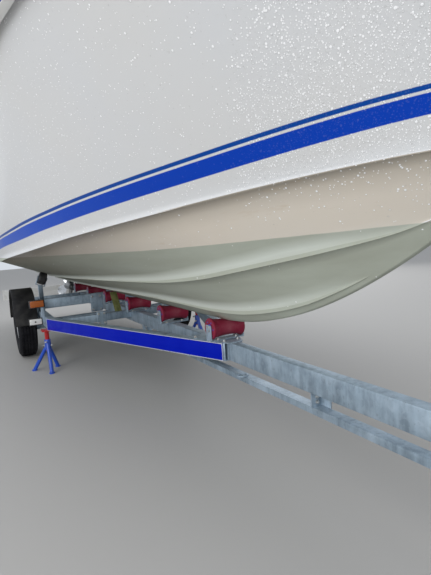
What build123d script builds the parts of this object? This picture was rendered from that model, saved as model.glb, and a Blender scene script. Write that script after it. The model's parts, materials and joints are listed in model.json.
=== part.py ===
from build123d import *
import os
from math import atan2, cos, hypot, pi, sin, tan

# A trailer-kept sports cruiser of about 6.5 m on its galvanised roller trailer, with two axle stands.
# Lengths along X are first given from the place where the trailer's V of side beams meets the
# drawbar. At the end everything is moved so that X = 0 is the middle of the overall length.
# +X is forward, +Y is port, +Z is up, and Z = 0 is the ground. All sizes are in millimetres.

os.makedirs("parts", exist_ok=True)

COUPLING_NOSE = 3000.0        # foremost point
LAMP_BACK = -5200.0           # rearmost point
ORIGIN_X = (COUPLING_NOSE + LAMP_BACK) / 2

RUNNING_GAP = 0.3             # between a turning piece and its pin, or the keel
HINGE_GAP = 5.0               # round a door, lid or hatch
SLIVER = 100.0                # a cut leaves no solid smaller than this

# Hull form
TRANSOM_X = -4300.0
NOSE_X = 2140.0               # blunt end of the hull moulding
STEM_X = 2167.0               # where the stem line would reach the sheer
KEEL_Z = 588.0
STEM_Z = 1844.0
FOREFOOT_X = -100.0           # the keel is straight behind this
KEEL_POWER = 2.113
KEEL_PAD_HALF = 18.0
STEM_BAND_HALF = 22.0         # rounded width of the stem, each side
STEM_BAND_RISE = 10.0
SHEER_Z = 1790.0              # at X = 0
SHEER_SLOPE = 0.025
BEAM_HALF = 1130.0
BEAM_FULL_X = -1200.0
BEAM_POWER = 3.6
CHINE_FLAT = 45.0             # width of the flat under the chine, aft
CHINE_LIP = 48.0              # height of the hollow lip over the chine, aft
LIP_INSET = 9.0
LIP_HOLLOW = 3.5
CHINE_END_X = 1535.0

# Offsets of the chine: x, half-breadth, height
CHINE_TABLE = [
    (-4300, 965, 950),
    (-2900, 980, 961),
    (-1800, 960, 1003),
    (-900, 867, 1049),
    (-300, 754, 1094),
    (200, 624, 1130),
    (600, 496, 1160),
    (950, 366, 1186),
    (1250, 240, 1203),
    (1400, 148, 1210),
    (1480, 84, 1213),
    (1535, 30, 1216),
]
STATIONS = [-4300, -3500, -2700, -1900, -1250, -700, -300, 0, 250, 480, 700, 900, 1070, 1220, 1340, 1440,
            1540, 1620, 1720, 1840, 1960, 2060, 2140]

# Spray strakes: x, half-breadth of the sharp edge
UPPER_STRAKE = [(-4300, 488), (-2900, 495), (-1800, 488), (-900, 440), (-300, 374), (200, 320), (600, 252),
                (950, 160), (1170, 84), (1290, 46)]
LOWER_STRAKE = [(-4300, 248), (-2900, 250), (-1800, 246), (-900, 222), (-300, 168), (200, 113), (600, 68)]
STRAKE_WIDTH = 35.0           # of the flat under the strake
STRAKE_FLARE = 40.0           # of the hollow flare outside its edge
STRAKE_SINK = 6.0
STRAKE_TIP = 0.35             # size at its fore end, as a share
STRAKE_FULL_X = 300.0         # it narrows ahead of this

# Inside of the boat
HULL_WALL = 70.0
SOLE_TOP = 1080.0
SOLE_THICK = 30.0
BULKHEAD_X = -900.0           # its aft face
BULKHEAD_THICK = 50.0
COCKPIT_AFT_X = -4180.0
CABIN_FORE_X = 1350.0
BERTH_TOP = 1300.0
FOOTWELL_HALF = 300.0
FOOTWELL_FORE_X = -100.0
BAY_FORE_X = -3480.0
BAY_HALF = 420.0
BAY_FLOOR = 790.0
ENGINE_BOX_FORE_X = -3350.0
ENGINE_BOX_TOP = 1470.0
PANEL = 30.0

# Deck
SIDE_DECK = 210.0
DECK_SHELL = 45.0
COAMING_RISE = 70.0
ROOF_SHARE = 0.98             # height of the flat roof, as a share of the crown

# Companionway door and fore hatch
DOOR_HALF = 260.0
DOOR_LOW = 1100.0
DOOR_HIGH = 1890.0
DOOR_THICK = 30.0
HATCH_X = 600.0
HATCH_HALF_X = 260.0
HATCH_HALF_Y = 250.0
HATCH_THICK = 28.0
HATCH_TOP = 2035.0

# Trailer frame
BEAM_TOP = 464.5
BEAM_HEIGHT = 100.0
BEAM_WIDTH = 60.0
DRAWBAR_FRONT = 2760.0
DRAWBAR_REAR = -3950.0
RAIL_HALF = 715.0             # outer face of the side rails
V_FRONT_HALF = 56.0           # outer face of the V beams at X = 0
V_REAR_HALF = RAIL_HALF + 7
V_REAR_X = -1880.0
BOARD_THICK = 4.0
CROSS_INSET = 75.0            # from a side rail's outer face to the front cross-beam's end
RAIL_REAR = -4150.0
CHORD_TOP = 303.0
CHORD_HEIGHT = 30.0
CHORD_WIDTH = 50.0
CHORD_REAR = -1500.0
CHORD_FRONT = 2270.0
RING_X = 117.0                # of the lashing ring on the chord

# Wheels and axle
WHEEL_X = -2717.0
TYRE_RADIUS = 315.0
TYRE_WIDTH = 170.0
TYRE_CLEAR = 31.0             # between a side rail and the tyre beside it
WHEEL_HALF = RAIL_HALF + TYRE_CLEAR + TYRE_WIDTH / 2
RIM_RADIUS = 193.0
RIM_HOLE = 13.0
RIM_HOLE_CIRCLE = 128.0
SPINDLE_RADIUS = 20.0
AXLE_X = -2567.0
AXLE_SIZE = 80.0
MUDGUARD_RADIUS = 360.0
MUDGUARD_THICK = 8.0
MUDGUARD_WIDTH = 190.0

JUNCTION_PLATE = 6.0
JUNCTION_REAR = -290.0

# Keel rollers
ROLLER_XS = [-80, -825, -1580, -2325, -3075, -3820]
ROLLER_Z = 540.0
ROLLER_HALF = 98.0
ROLLER_END_RADIUS = 60.0
ROLLER_WAIST = KEEL_Z - ROLLER_Z - RUNNING_GAP
ROLLER_PIN = 10.0
BRACKET_PLATE = 6.0
BRACKET_LENGTH = 56.0

# Side rollers
SIDE_ROLLER_XS = [-3000]
SIDE_ROLLER_Y = 560.0
SIDE_ROLLER_RADIUS = 65.0
SIDE_ROLLER_HALF = 38.0
SIDE_PIN = 9.0

# Drive
STEER_X = TRANSOM_X - 130.0   # upright steering axis
TRIM_X = STEER_X - 40.0       # tilt axis
TRIM_Z = 800.0
DRIVE_PIN = 12.0
LUG_Z = 140.0                 # of the lugs over and under the tilt axis
LUG_HALF = 30.0
LUG_THICK = 28.0
PROP_Z = 495.0
PROP_X = TRIM_X - 470.0
PROP_RADIUS = 185.0
PLATFORM_TOP = 1240.0

# Engine lid, bench and cushions
LID_AFT = -4130.0
LID_FORE = -3470.0
LID_HALF = 620.0
LID_LEDGE = 25.0
BENCH_FORE = -2950.0
BENCH_HALF = 850.0
BENCH_TOP = 1380.0
ENGINE_X = (-4120.0, -3540.0)
ENGINE_HALF = 310.0
ENGINE_TALL = 560.0
CUSHION_GAP = 0.3
SEAT_X = -2150.0
SEAT_Y = 480.0
SEAT_TOP = 1500.0

# Hinges of the fore hatch and engine lid: axis x and z, and where they are along Y
BARREL_RADIUS = 5.5
BARREL_PIN = 2.5
BARREL_HALF = 30.0
HATCH_AXIS = (HATCH_X + HATCH_HALF_X + 18.0, HATCH_TOP - HATCH_THICK - 4.0)
HATCH_HINGES = (-150.0, 150.0)
LID_AXIS = (LID_AFT + 3.0, ENGINE_BOX_TOP + 6.0)
LID_HINGES = (-400.0, 400.0)

# Door hinges, flagstaff socket and helm
DOOR_PIN = 4.0
DOOR_KNUCKLE = 8.0
DOOR_AXIS = (BULKHEAD_X - 10.0, DOOR_HALF - HINGE_GAP / 2)
FLAG_SOCKET = (TRANSOM_X + 60, 0.0)
HELM = (BULKHEAD_X - 200.0 - 12, -480.0, 1640.0 - 12)
HELM_SHAFT = 8.0
DASH_DEEP = 260.0
DASH_OUT = BEAM_HALF - 270
DASH_Z = (1330, 1700)

# Swim ladder
LADDER_Y = 690.0
LADDER_X = TRANSOM_X - 535.0
LADDER_Z = PLATFORM_TOP + 22
LADDER_HALF = 140.0
LADDER_TUBE = 12.5
LADDER_PIN = 6.0

# Rub rail, bow rail with its posts (x, distance in from the sheer) and bow eye
RAIL_DEEP = 24.0
RAIL_TALL = 46.0
RAIL_UP = 330.0
RAIL_TUBE = 12.5
POST_TUBE = 11.0
POSTS = [(-300, 60), (250, 60), (900, 60), (1440, 50), (1840, 40)]
EYE_Z = 1240.0

# Winch, its post and the bow stop
STOP_Z = 1340.0
STOP_RADIUS = 40.0
STOP_PIN = 8.0
POST_X = (1850.0, 1910.0)
WINCH = (1790.0, 0.0, 1090.0)

# Jockey wheel and coupling
JOCKEY = (2450.0, 100.0)
LEG_RADIUS = 24.0
TUBE_RADIUS = 30.0
JOCKEY_WHEEL = 110.0
TRAIL = 62.0
TUBE_LOW = 402.0
TUBE_TOP = 800.0
LEG_LOW = 262.0
LEG_TOP = 580.0
SWIVEL_PIN = 12.0
BALL_RADIUS = 25.3
SOCKET_X = 2940.0

# Rear lamp board and axle stands
BOARD_FRONT = LAMP_BACK + 60.0
PLATE_HOLE_HALF = 230.0
MARK_X = -1990.0              # rear face of the marker lamps
MARK_OUT = WHEEL_HALF + 15
AMBER_OUT = WHEEL_HALF - 3
LAMP_SPAN = (640.0, 880.0)    # each rear lamp cluster, out from the middle
STAND_X = -1925.0
STAND_Y = 727.0
COLLAR_Z = 280.0
STAND_POST = 19.0
STAND_LEG = 16.0
STAND_FEET = [(-105, 118), (105, 5), (-100, -75)]

# Colours
GALVANISED = (0.6, 0.65, 0.68)
WHITE = (0.9, 0.9, 0.88)
BLACK = (0.05, 0.05, 0.05)
STEEL = (0.75, 0.75, 0.77)

# Windscreen
SCREEN_TUBE = 12.0
SCREEN_POST = 10.0
SCREEN_FOOT = 9.0
GLASS = 6.0
# One side of the windscreen: foot x, y and height over the sheer, then top x, y and z
SCREEN = [
    (-560, 0, 256, -850, 0, 2318),
    (-610, 300, 256, -890, 280, 2313),
    (-760, 620, 246, -1010, 560, 2293),
    (-960, 850, 186, -1170, 780, 2243),
    (-1300, 985, 104, -1400, 925, 2153),
    (-1900, 1010, 90, -1880, 985, 1958),
]


def box(x, y, z):
    """A block between two corners, each axis as a pair in either order."""
    size = (abs(x[1] - x[0]), abs(y[1] - y[0]), abs(z[1] - z[0]))
    return Pos((x[0] + x[1]) / 2, (y[0] + y[1]) / 2, (z[0] + z[1]) / 2) * Box(*size)


def rod(start, end, radius):
    """A round bar from one point to another."""
    start, end = Vector(*start), Vector(*end)
    plane = Plane(origin=start, z_dir=end - start)
    return Solid.make_cylinder(radius, (end - start).length, plane)


def turned(profile, centre, axis):
    """A solid of revolution. profile is a list of (along, radius) corners."""
    face = make_face(Polyline(*[(r, a) for a, r in profile], close=True).edges())
    solid = revolve(Plane.XZ * face, Axis.Z)
    return Plane(origin=Vector(*centre), z_dir=Vector(*axis)) * solid


def wire_section(x, points):
    """A closed section across the boat at x. points run up one side as (y, z)."""
    return make_face(Polyline(*[(x, y, z) for y, z in points], close=True).edges())


def both_sides(solid):
    """The port solid and its starboard mirror image."""
    return [solid, solid.mirror(Plane.XZ)]


def slab(corners, thickness, direction):
    """A thin plate with the given corners, thickened along a direction."""
    face = make_face(Polyline(*corners, close=True).edges())
    return extrude(face, amount=thickness, dir=Vector(*direction))


def bends(points, share=0.4):
    """Bend radius at each inner corner, as large as the two runs beside it allow."""
    radii = []
    for before, corner, after in zip(points, points[1:], points[2:]):
        run_in, run_out = Vector(*corner) - Vector(*before), Vector(*after) - Vector(*corner)
        turn = run_in.get_angle(run_out)
        radii.append(share * min(run_in.length, run_out.length) / tan(turn * pi / 360))
    return radii


def pipe(points, radius):
    """A bent tube: straight runs with smooth bends between them."""
    path = FilletPolyline(*points, radius=bends(points))
    return sweep(Plane(origin=path @ 0, z_dir=path % 0) * Circle(radius), path=path)


def barrels(x, z, ys, fixed_reach, loose_reach):
    """Hinge barrels along Y: the fixed pair with the pin, and the loose one between them.

    Each reach is where its leaf ends, as (x, low z, high z) from the axis."""
    fixed, loose = [], []
    for y in ys:
        hinge = rod((x, y - BARREL_HALF, z), (x, y + BARREL_HALF, z), BARREL_PIN)
        for low in (y - BARREL_HALF, y + BARREL_HALF / 3 + 1):
            high = low + BARREL_HALF * 2 / 3 - 1
            hinge += rod((x, low, z), (x, high, z), BARREL_RADIUS)
            hinge += box((x, x + fixed_reach[0]), (low, high), (z + fixed_reach[1], z + fixed_reach[2]))
        fixed.append(hinge)
        low, high = y - BARREL_HALF / 3, y + BARREL_HALF / 3
        leaf = rod((x, low, z), (x, high, z), BARREL_RADIUS)
        leaf += box((x, x + loose_reach[0]), (low, high), (z + loose_reach[1], z + loose_reach[2]))
        loose.append(leaf - rod((x, low - 1, z), (x, high + 1, z), BARREL_PIN + RUNNING_GAP))
    return fixed, loose


def keep(name, shapes, color):
    """Write one node, moved so that X = 0 is the middle of the overall length."""
    solids = []
    for shape in shapes if isinstance(shapes, list) else [shapes]:
        solids += [s for s in shape.solids() if s.volume > SLIVER]
    moved = [Pos(-ORIGIN_X, 0, 0) * s for s in solids]
    node = Compound(children=moved) if len(moved) > 1 else moved[0]
    node.color = Color(*color)
    export_step(node, f"parts/{name}.step")


def keel_z(x):
    reach = max(x - FOREFOOT_X, 0) / (STEM_X - FOREFOOT_X)
    return KEEL_Z + (STEM_Z - KEEL_Z) * reach ** KEEL_POWER


def stem_x(z):
    return FOREFOOT_X + (STEM_X - FOREFOOT_X) * ((z - KEEL_Z) / (STEM_Z - KEEL_Z)) ** (1 / KEEL_POWER)


def sheer_z(x):
    return SHEER_Z + SHEER_SLOPE * x


def sheer_half(x):
    reach = max(x - BEAM_FULL_X, 0) / (STEM_X - BEAM_FULL_X)
    return BEAM_HALF * (1 - reach ** BEAM_POWER)


def slope_at(table, i, column):
    """Slope of a table's curve at row i, from the rows on each side of it."""
    low, high = table[max(i - 1, 0)], table[min(i + 1, len(table) - 1)]
    return (high[column] - low[column]) / (high[0] - low[0])


def between(table, x, column):
    """A value read from a table by a fair curve through its rows."""
    i = max(n for n, row in enumerate(table[:-1]) if row[0] <= x)
    (low, high), step = table[i:i + 2], table[i + 1][0] - table[i][0]
    t = (x - low[0]) / step
    start, end = slope_at(table, i, column) * step, slope_at(table, i + 1, column) * step
    return ((2 * t ** 3 - 3 * t ** 2 + 1) * low[column] + (t ** 3 - 2 * t ** 2 + t) * start
            + (3 * t ** 2 - 2 * t ** 3) * high[column] + (t ** 3 - t ** 2) * end)


def chine(x):
    """Half-breadth and height of the chine. Ahead of its end it runs up the stem."""
    if x > CHINE_END_X:
        return STEM_BAND_HALF, keel_z(x) + STEM_BAND_RISE
    return between(CHINE_TABLE, x, 1), between(CHINE_TABLE, x, 2)


def keel_half(x):
    return KEEL_PAD_HALF if x < FOREFOOT_X else KEEL_PAD_HALF - 8 * (x - FOREFOOT_X) / (STEM_X - FOREFOOT_X)


def chine_flat(x):
    half, _ = chine(x)
    return 5.0 if x > CHINE_END_X else CHINE_FLAT * half / CHINE_TABLE[1][1]


def lip(x):
    """Size of the chine's lip, as a share of that aft."""
    half, _ = chine(x)
    return max(half / CHINE_TABLE[1][1], 0.12)


def bottom_z(x, y):
    """Height of the plain bottom panel at half-breadth y."""
    half, top = chine(x)
    low_y, high_y = keel_half(x), half - chine_flat(x)
    return keel_z(x) + (top - keel_z(x)) * (y - low_y) / (high_y - low_y)


def side_half(x, z):
    """Half-breadth of the topside at a height above the chine."""
    half, low = chine(x)
    share = (z - low) / (sheer_z(x) - low)
    return half + (sheer_half(x) - half) * share


def hull_section(x):
    """One station of the hull: pad, bottom, chine flat, topside and a level top."""
    half, z = chine(x)
    top_y, top_z = sheer_half(x), sheer_z(x)
    pad, low = keel_half(x), keel_z(x)
    inner = half - chine_flat(x)
    bulge = 26 - 46 * max(x - BEAM_FULL_X, 0) / (STEM_X - BEAM_FULL_X) if x < CHINE_END_X else -4
    up = Vector(0, top_y - half, top_z - z).normalized()
    out = Vector(0, up.Z, -up.Y)
    chine_edge, sheer_edge = Vector(x, half, z), Vector(x, top_y, top_z)
    lip_top = chine_edge + up * (CHINE_LIP * lip(x)) - out * (LIP_INSET * lip(x))
    lip_mid = (chine_edge + lip_top) * 0.5 - out * (LIP_HOLLOW * lip(x))
    mid = (lip_top + sheer_edge) * 0.5 + out * bulge
    edges = []
    for side in (1, -1):
        across = [(x, side * p.Y, p.Z) for p in (chine_edge, lip_mid, lip_top, mid, sheer_edge)]
        edges.append(Line((x, side * pad, low), (x, side * inner, z)))
        edges.append(Line((x, side * inner, z), across[0]))
        edges.append(ThreePointArc(*across[0:3]))
        edges.append(ThreePointArc(*across[2:5]))
    edges.append(Line((x, -pad, low), (x, pad, low)))
    edges.append(Line((x, -top_y, top_z), (x, top_y, top_z)))
    return make_face(edges)


def strake(table):
    """One spray strake on the port side: flat below, with a hollow flare outside its sharp edge."""
    sections = []
    tip = table[-1][0]
    for x in [x for x in STATIONS if x < tip - 20] + [tip]:
        size = 1 - (1 - STRAKE_TIP) * max(x - STRAKE_FULL_X, 0) / (tip - STRAKE_FULL_X)
        edge = between(table, x, 1)
        inner, outer = edge - STRAKE_WIDTH * size, edge + STRAKE_FLARE * size
        low, high = bottom_z(x, inner), bottom_z(x, outer)
        hollow = (edge + 0.3 * (outer - edge), low + 0.55 * (high - low))
        points = [(inner - STRAKE_SINK, low), (edge, low), hollow, (outer, high + 1), (outer, high + STRAKE_SINK),
                  (inner - STRAKE_SINK, low + STRAKE_SINK)]
        sections.append(wire_section(x, points))
    return loft(sections, ruled=True)


def room(x_aft, x_fore, floor, top_over, wall, steps=4):
    """A hollow that follows the topsides at one wall thickness, from a floor to over the sheer."""
    sections = []
    for i in range(steps + 1):
        x = x_aft + (x_fore - x_aft) * i / steps
        low = side_half(x, floor) - wall
        high = sheer_half(x) - wall
        top = sheer_z(x)
        over = top + top_over
        sections.append(wire_section(x, [(low, floor), (high, top), (high, over), (-high, over), (-high, top),
                                         (-low, floor)]))
    return loft(sections, ruled=True)


def make_hull():
    hull = loft([hull_section(x) for x in STATIONS], ruled=True)
    for table in (UPPER_STRAKE, LOWER_STRAKE):
        for piece in both_sides(strake(table)):
            hull = hull + piece
    hull -= room(COCKPIT_AFT_X, BULKHEAD_X, SOLE_TOP - SOLE_THICK, 50, HULL_WALL)
    hull -= room(BULKHEAD_X + BULKHEAD_THICK, CABIN_FORE_X, BERTH_TOP, 50, HULL_WALL)
    hull -= box((BULKHEAD_X + BULKHEAD_THICK, FOOTWELL_FORE_X), (-FOOTWELL_HALF, FOOTWELL_HALF),
                (SOLE_TOP, BERTH_TOP + 1))
    hull -= box((COCKPIT_AFT_X, BAY_FORE_X), (-BAY_HALF, BAY_HALF), (BAY_FLOOR, SOLE_TOP))
    hull -= box((BULKHEAD_X - 1, BULKHEAD_X + BULKHEAD_THICK + 1), (-DOOR_HALF, DOOR_HALF),
                (DOOR_LOW, STEM_Z))
    return hull


def crown(x):
    """Height of the coachroof over the sheer."""
    return 250 - 150 * max(x - BULKHEAD_X, 0) / (STEM_X - BULKHEAD_X) if x < 1500 else between(
        [(1500, 132), (1900, 50), (2140, 14)], x, 1)


def roof_section(x, inset):
    """Side deck, coachroof side and a cambered top, over the sheer line."""
    half, low, rise = sheer_half(x), sheer_z(x), crown(x)
    deck = SIDE_DECK * half / BEAM_HALF
    points = [(half - inset, low - inset * 0.02), (half - deck - inset, low + rise * 0.16 - inset * 0.9),
              (half - deck * 1.9 - inset, low + rise * 0.8 - inset),
              (half * 0.3, low + rise * ROOF_SHARE - inset)]
    return wire_section(x, points + [(-y, z) for y, z in reversed(points)])


def side_deck_z(x, inset):
    """Height of the side deck beside the coachroof, at a distance in from the sheer."""
    return sheer_z(x) + crown(x) * 0.16 * inset / (SIDE_DECK * sheer_half(x) / BEAM_HALF)


def make_deck(hatch_coaming):
    stations = [BULKHEAD_X] + [x for x in STATIONS if x > BULKHEAD_X]
    deck = loft([roof_section(x, 0) for x in stations], ruled=True)
    inner = [BULKHEAD_X + BULKHEAD_THICK, 0, 800, CABIN_FORE_X]
    sections = []
    for x in inner:
        half, low, rise = sheer_half(x), sheer_z(x), crown(x)
        deck_width = SIDE_DECK * half / BEAM_HALF
        reach = half - HULL_WALL
        points = [(reach - deck_width * 0.6, low - 1),
                  (half - deck_width * 1.9 - DECK_SHELL, low + rise * 0.8 - DECK_SHELL),
                  (half * 0.3, low + rise * ROOF_SHARE - DECK_SHELL)]
        sections.append(wire_section(x, points + [(-y, z) for y, z in reversed(points)]))
    deck -= loft(sections, ruled=True)
    deck -= box((BULKHEAD_X - 1, BULKHEAD_X + BULKHEAD_THICK + 1), (-DOOR_HALF, DOOR_HALF),
                (DOOR_LOW, DOOR_HIGH))
    deck += hatch_coaming
    clear = box((HATCH_X - HATCH_HALF_X + 30, HATCH_X + HATCH_HALF_X - 30),
                (-HATCH_HALF_Y + 30, HATCH_HALF_Y - 30), (SHEER_Z - 200, HATCH_TOP + 50))
    return deck - clear


def make_coaming():
    """Side decks and the aft deck round the cockpit, on the sheer."""
    outer, inner = [], []
    for x in (TRANSOM_X, -3300, -2300, BULKHEAD_X):
        half, low = sheer_half(x), sheer_z(x)
        points = [(half, low), (half - 25, low + COAMING_RISE * 0.7), (half - 70, low + COAMING_RISE)]
        outer.append(wire_section(x, points + [(-y, z) for y, z in reversed(points)]))
        half -= SIDE_DECK
        x_in = max(x, COCKPIT_AFT_X) + (1 if x == BULKHEAD_X else 0)
        points = [(half, low - 30), (half, low + COAMING_RISE + 30)]
        inner.append(wire_section(x_in, points + [(-y, z) for y, z in reversed(points)]))
    return loft(outer, ruled=True) - loft(inner, ruled=True)


def make_liner():
    """Cockpit sole, aft bench base and engine box, one moulding with the lid's opening."""
    low = SOLE_TOP - SOLE_THICK
    aft, fore = COCKPIT_AFT_X, BULKHEAD_X
    wide = (-BEAM_HALF, BEAM_HALF)
    liner = box((aft, fore), wide, (low, SOLE_TOP))
    liner += box((aft, ENGINE_BOX_FORE_X), wide, (SOLE_TOP, ENGINE_BOX_TOP))
    liner &= room(aft, fore, low, 50, HULL_WALL)
    liner -= box((aft + PANEL, ENGINE_BOX_FORE_X - PANEL), (-850, 850), (SOLE_TOP, ENGINE_BOX_TOP - PANEL))
    liner -= box((LID_AFT, LID_FORE), (-LID_HALF, LID_HALF), (SOLE_TOP, ENGINE_BOX_TOP + 1))
    ledge_z = (ENGINE_BOX_TOP - PANEL - LID_LEDGE, ENGINE_BOX_TOP - PANEL - RUNNING_GAP)
    ledge = box((LID_AFT - 10, LID_FORE + 10), (-LID_HALF - 10, LID_HALF + 10), ledge_z)
    clear_half = LID_HALF - LID_LEDGE
    ledge -= box((LID_AFT + LID_LEDGE, LID_FORE - LID_LEDGE), (-clear_half, clear_half), ledge_z)
    for x in (LID_AFT - 10, LID_FORE):
        ledge += box((x, x + 10), (-LID_HALF - 10, LID_HALF + 10), (ledge_z[0], ENGINE_BOX_TOP - PANEL))
    liner += ledge
    liner -= box((aft, BAY_FORE_X), (-BAY_HALF, BAY_HALF), (low - 1, SOLE_TOP + 1))
    bench = box((BENCH_FORE, ENGINE_BOX_FORE_X), (-BENCH_HALF, BENCH_HALF), (SOLE_TOP, BENCH_TOP))
    return liner + bench




hinge_plates, door_hinges = [], []
for z in (1250.0, 1650.0):
    fixed = rod((*DOOR_AXIS, z - 28), (*DOOR_AXIS, z + 28), DOOR_PIN)
    for low in (z - 30, z + 10.5):
        fixed += rod((*DOOR_AXIS, low), (*DOOR_AXIS, low + 19.5), DOOR_KNUCKLE)
        fixed += box((DOOR_AXIS[0] - 3, BULKHEAD_X + 1), (DOOR_HALF, DOOR_HALF + 36), (low, low + 19.5))
    hinge_plates.append(fixed)
    loose = rod((*DOOR_AXIS, z - 10), (*DOOR_AXIS, z + 10), DOOR_KNUCKLE)
    leaf_y = (DOOR_HALF - 40, DOOR_HALF - HINGE_GAP)
    loose += box((DOOR_AXIS[0] - 3, BULKHEAD_X + 3), leaf_y, (z - 10, z + 10))
    door_hinges.append(loose - rod((*DOOR_AXIS, z - 12), (*DOOR_AXIS, z + 12), DOOR_PIN + RUNNING_GAP))
hull = make_hull()
for plate in hinge_plates:
    hull = hull + plate
keep("hull", hull, WHITE)

# Fore hatch with its raised coaming
rim_z = (sheer_z(HATCH_X) + crown(HATCH_X) - DECK_SHELL - 30, HATCH_TOP - HATCH_THICK - RUNNING_GAP)
hatch_coaming = box((HATCH_X - HATCH_HALF_X, HATCH_X + HATCH_HALF_X), (-HATCH_HALF_Y, HATCH_HALF_Y), rim_z)
deck = make_deck(hatch_coaming)
fixed, loose = barrels(*HATCH_AXIS, HATCH_HINGES, (-19, -BARREL_RADIUS, 0), (-8, 0, 7))
for leaf in fixed:
    deck += leaf
keep("deck", deck, WHITE)
hatch = box((HATCH_X - HATCH_HALF_X - 12, HATCH_X + HATCH_HALF_X + 12),
            (-HATCH_HALF_Y - 12, HATCH_HALF_Y + 12), (HATCH_TOP - HATCH_THICK, HATCH_TOP))
for leaf in loose:
    hatch += leaf
keep("fore_hatch", hatch, (0.2, 0.25, 0.3))
coaming = make_coaming()
socket_top = sheer_z(FLAG_SOCKET[0]) + COAMING_RISE
coaming -= rod((*FLAG_SOCKET, socket_top - 45), (*FLAG_SOCKET, socket_top + 5), 12.7)
keep("cockpit_coaming", coaming, WHITE)
liner = make_liner()
fixed, lid_leaves = barrels(*LID_AXIS, LID_HINGES, (-27, -7, 0), (27, -7, 0))
for leaf in fixed:
    liner += leaf
keep("cockpit_liner", liner, (0.92, 0.91, 0.88))

# Door in the cabin bulkhead
door = box((BULKHEAD_X + 2, BULKHEAD_X + 2 + DOOR_THICK),
           (-DOOR_HALF + HINGE_GAP, DOOR_HALF - HINGE_GAP), (DOOR_LOW + HINGE_GAP, DOOR_HIGH - HINGE_GAP))
keep("cabin_door", door + door_hinges[0] + door_hinges[1], (0.35, 0.38, 0.42))

# Engine, lid and sun pad
engine = box(ENGINE_X, (-ENGINE_HALF, ENGINE_HALF), (BAY_FLOOR, BAY_FLOOR + ENGINE_TALL))
keep("engine_block", engine, (0.3, 0.3, 0.32))
lid = box((LID_AFT + HINGE_GAP, LID_FORE - HINGE_GAP), (-LID_HALF + HINGE_GAP, LID_HALF - HINGE_GAP),
          (ENGINE_BOX_TOP - PANEL, ENGINE_BOX_TOP))
for leaf in lid_leaves:
    lid += leaf
keep("engine_lid", lid, WHITE)
keep("sun_pad", box((LID_AFT + 50, LID_FORE - 20), (-LID_HALF + 20, LID_HALF - 20),
                    (ENGINE_BOX_TOP + CUSHION_GAP, ENGINE_BOX_TOP + 90)), (0.85, 0.85, 0.82))

# Bench and seats
bench_cushions = [
    box((BENCH_FORE - 395, BENCH_FORE - 5), (-BENCH_HALF + 10, BENCH_HALF - 10),
        (BENCH_TOP + CUSHION_GAP, BENCH_TOP + 100)),
    box((ENGINE_BOX_FORE_X - 90, ENGINE_BOX_FORE_X - 5), (-BENCH_HALF + 10, BENCH_HALF - 10),
        (ENGINE_BOX_TOP + CUSHION_GAP, ENGINE_BOX_TOP + 260)),
]
pedestals, seats = [], list(bench_cushions)
for side in (1, -1):
    foot = turned([(0, 0), (0, 150), (12, 150), (12, 45), (SEAT_TOP - SOLE_TOP - 20, 45),
                   (SEAT_TOP - SOLE_TOP - 20, 180), (SEAT_TOP - SOLE_TOP, 180), (SEAT_TOP - SOLE_TOP, 0)],
                  (SEAT_X, side * SEAT_Y, SOLE_TOP), (0, 0, 1))
    pedestals.append(foot)
    y = (side * SEAT_Y - 235, side * SEAT_Y + 235)
    seats.append(box((SEAT_X - 230, SEAT_X + 250), y, (SEAT_TOP + CUSHION_GAP, SEAT_TOP + 120)))
    seats.append(box((SEAT_X - 230, SEAT_X - 130), y, (SEAT_TOP + 120 + 2 * CUSHION_GAP, SEAT_TOP + 520)))
keep("seat_pedestals", pedestals, STEEL)
keep("cockpit_cushions", seats, (0.85, 0.85, 0.82))

# Dashboard on the bulkhead, wheel and throttle
dash = box((BULKHEAD_X - DASH_DEEP, BULKHEAD_X), (-DASH_OUT, -DOOR_HALF - 30), DASH_Z)
dash = chamfer(dash.edges().filter_by(Axis.Y).sort_by(Axis.Z)[-2:].sort_by(Axis.X)[0], 120)
helm_axis = (-1, 0, 1)
hub = Plane(origin=Vector(*HELM), z_dir=Vector(*helm_axis))
rim = hub * Pos(0, 0, 90) * Torus(170, 14)
column = hub * Pos(0, 0, 10 + 45) * Cylinder(30, 90)
column -= hub * Pos(0, 0, 30) * Cylinder(HELM_SHAFT + RUNNING_GAP, 60)
dash += hub * Pos(0, 0, (10 - RUNNING_GAP) / 2) * Cylinder(38, 10 - RUNNING_GAP)
dash += hub * Pos(0, 0, 25) * Cylinder(HELM_SHAFT, 60)
spokes = [hub * Rot(0, 0, a) * Pos(85, 0, 90) * Box(170, 30, 10) for a in (90, 210, 330)]
helm = rim + column
for spoke in spokes:
    helm = helm + spoke
keep("helm_wheel", helm, BLACK)
throttle_x = BULKHEAD_X - DASH_DEEP - 100
throttle = box((throttle_x - 60, throttle_x + 60), (-DASH_OUT - 40, -DASH_OUT), (1500, 1600))
throttle += rod((throttle_x, -DASH_OUT - 1, 1560), (throttle_x, -DASH_OUT + 30, 1560), 12)
throttle += rod((throttle_x, -DASH_OUT + 22, 1550), (throttle_x + 10, -DASH_OUT + 22, 1690), 8)
throttle &= room(COCKPIT_AFT_X, BULKHEAD_X, SOLE_TOP, 50, HULL_WALL)
keep("dashboard", [dash, throttle], (0.15, 0.15, 0.17))

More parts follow.
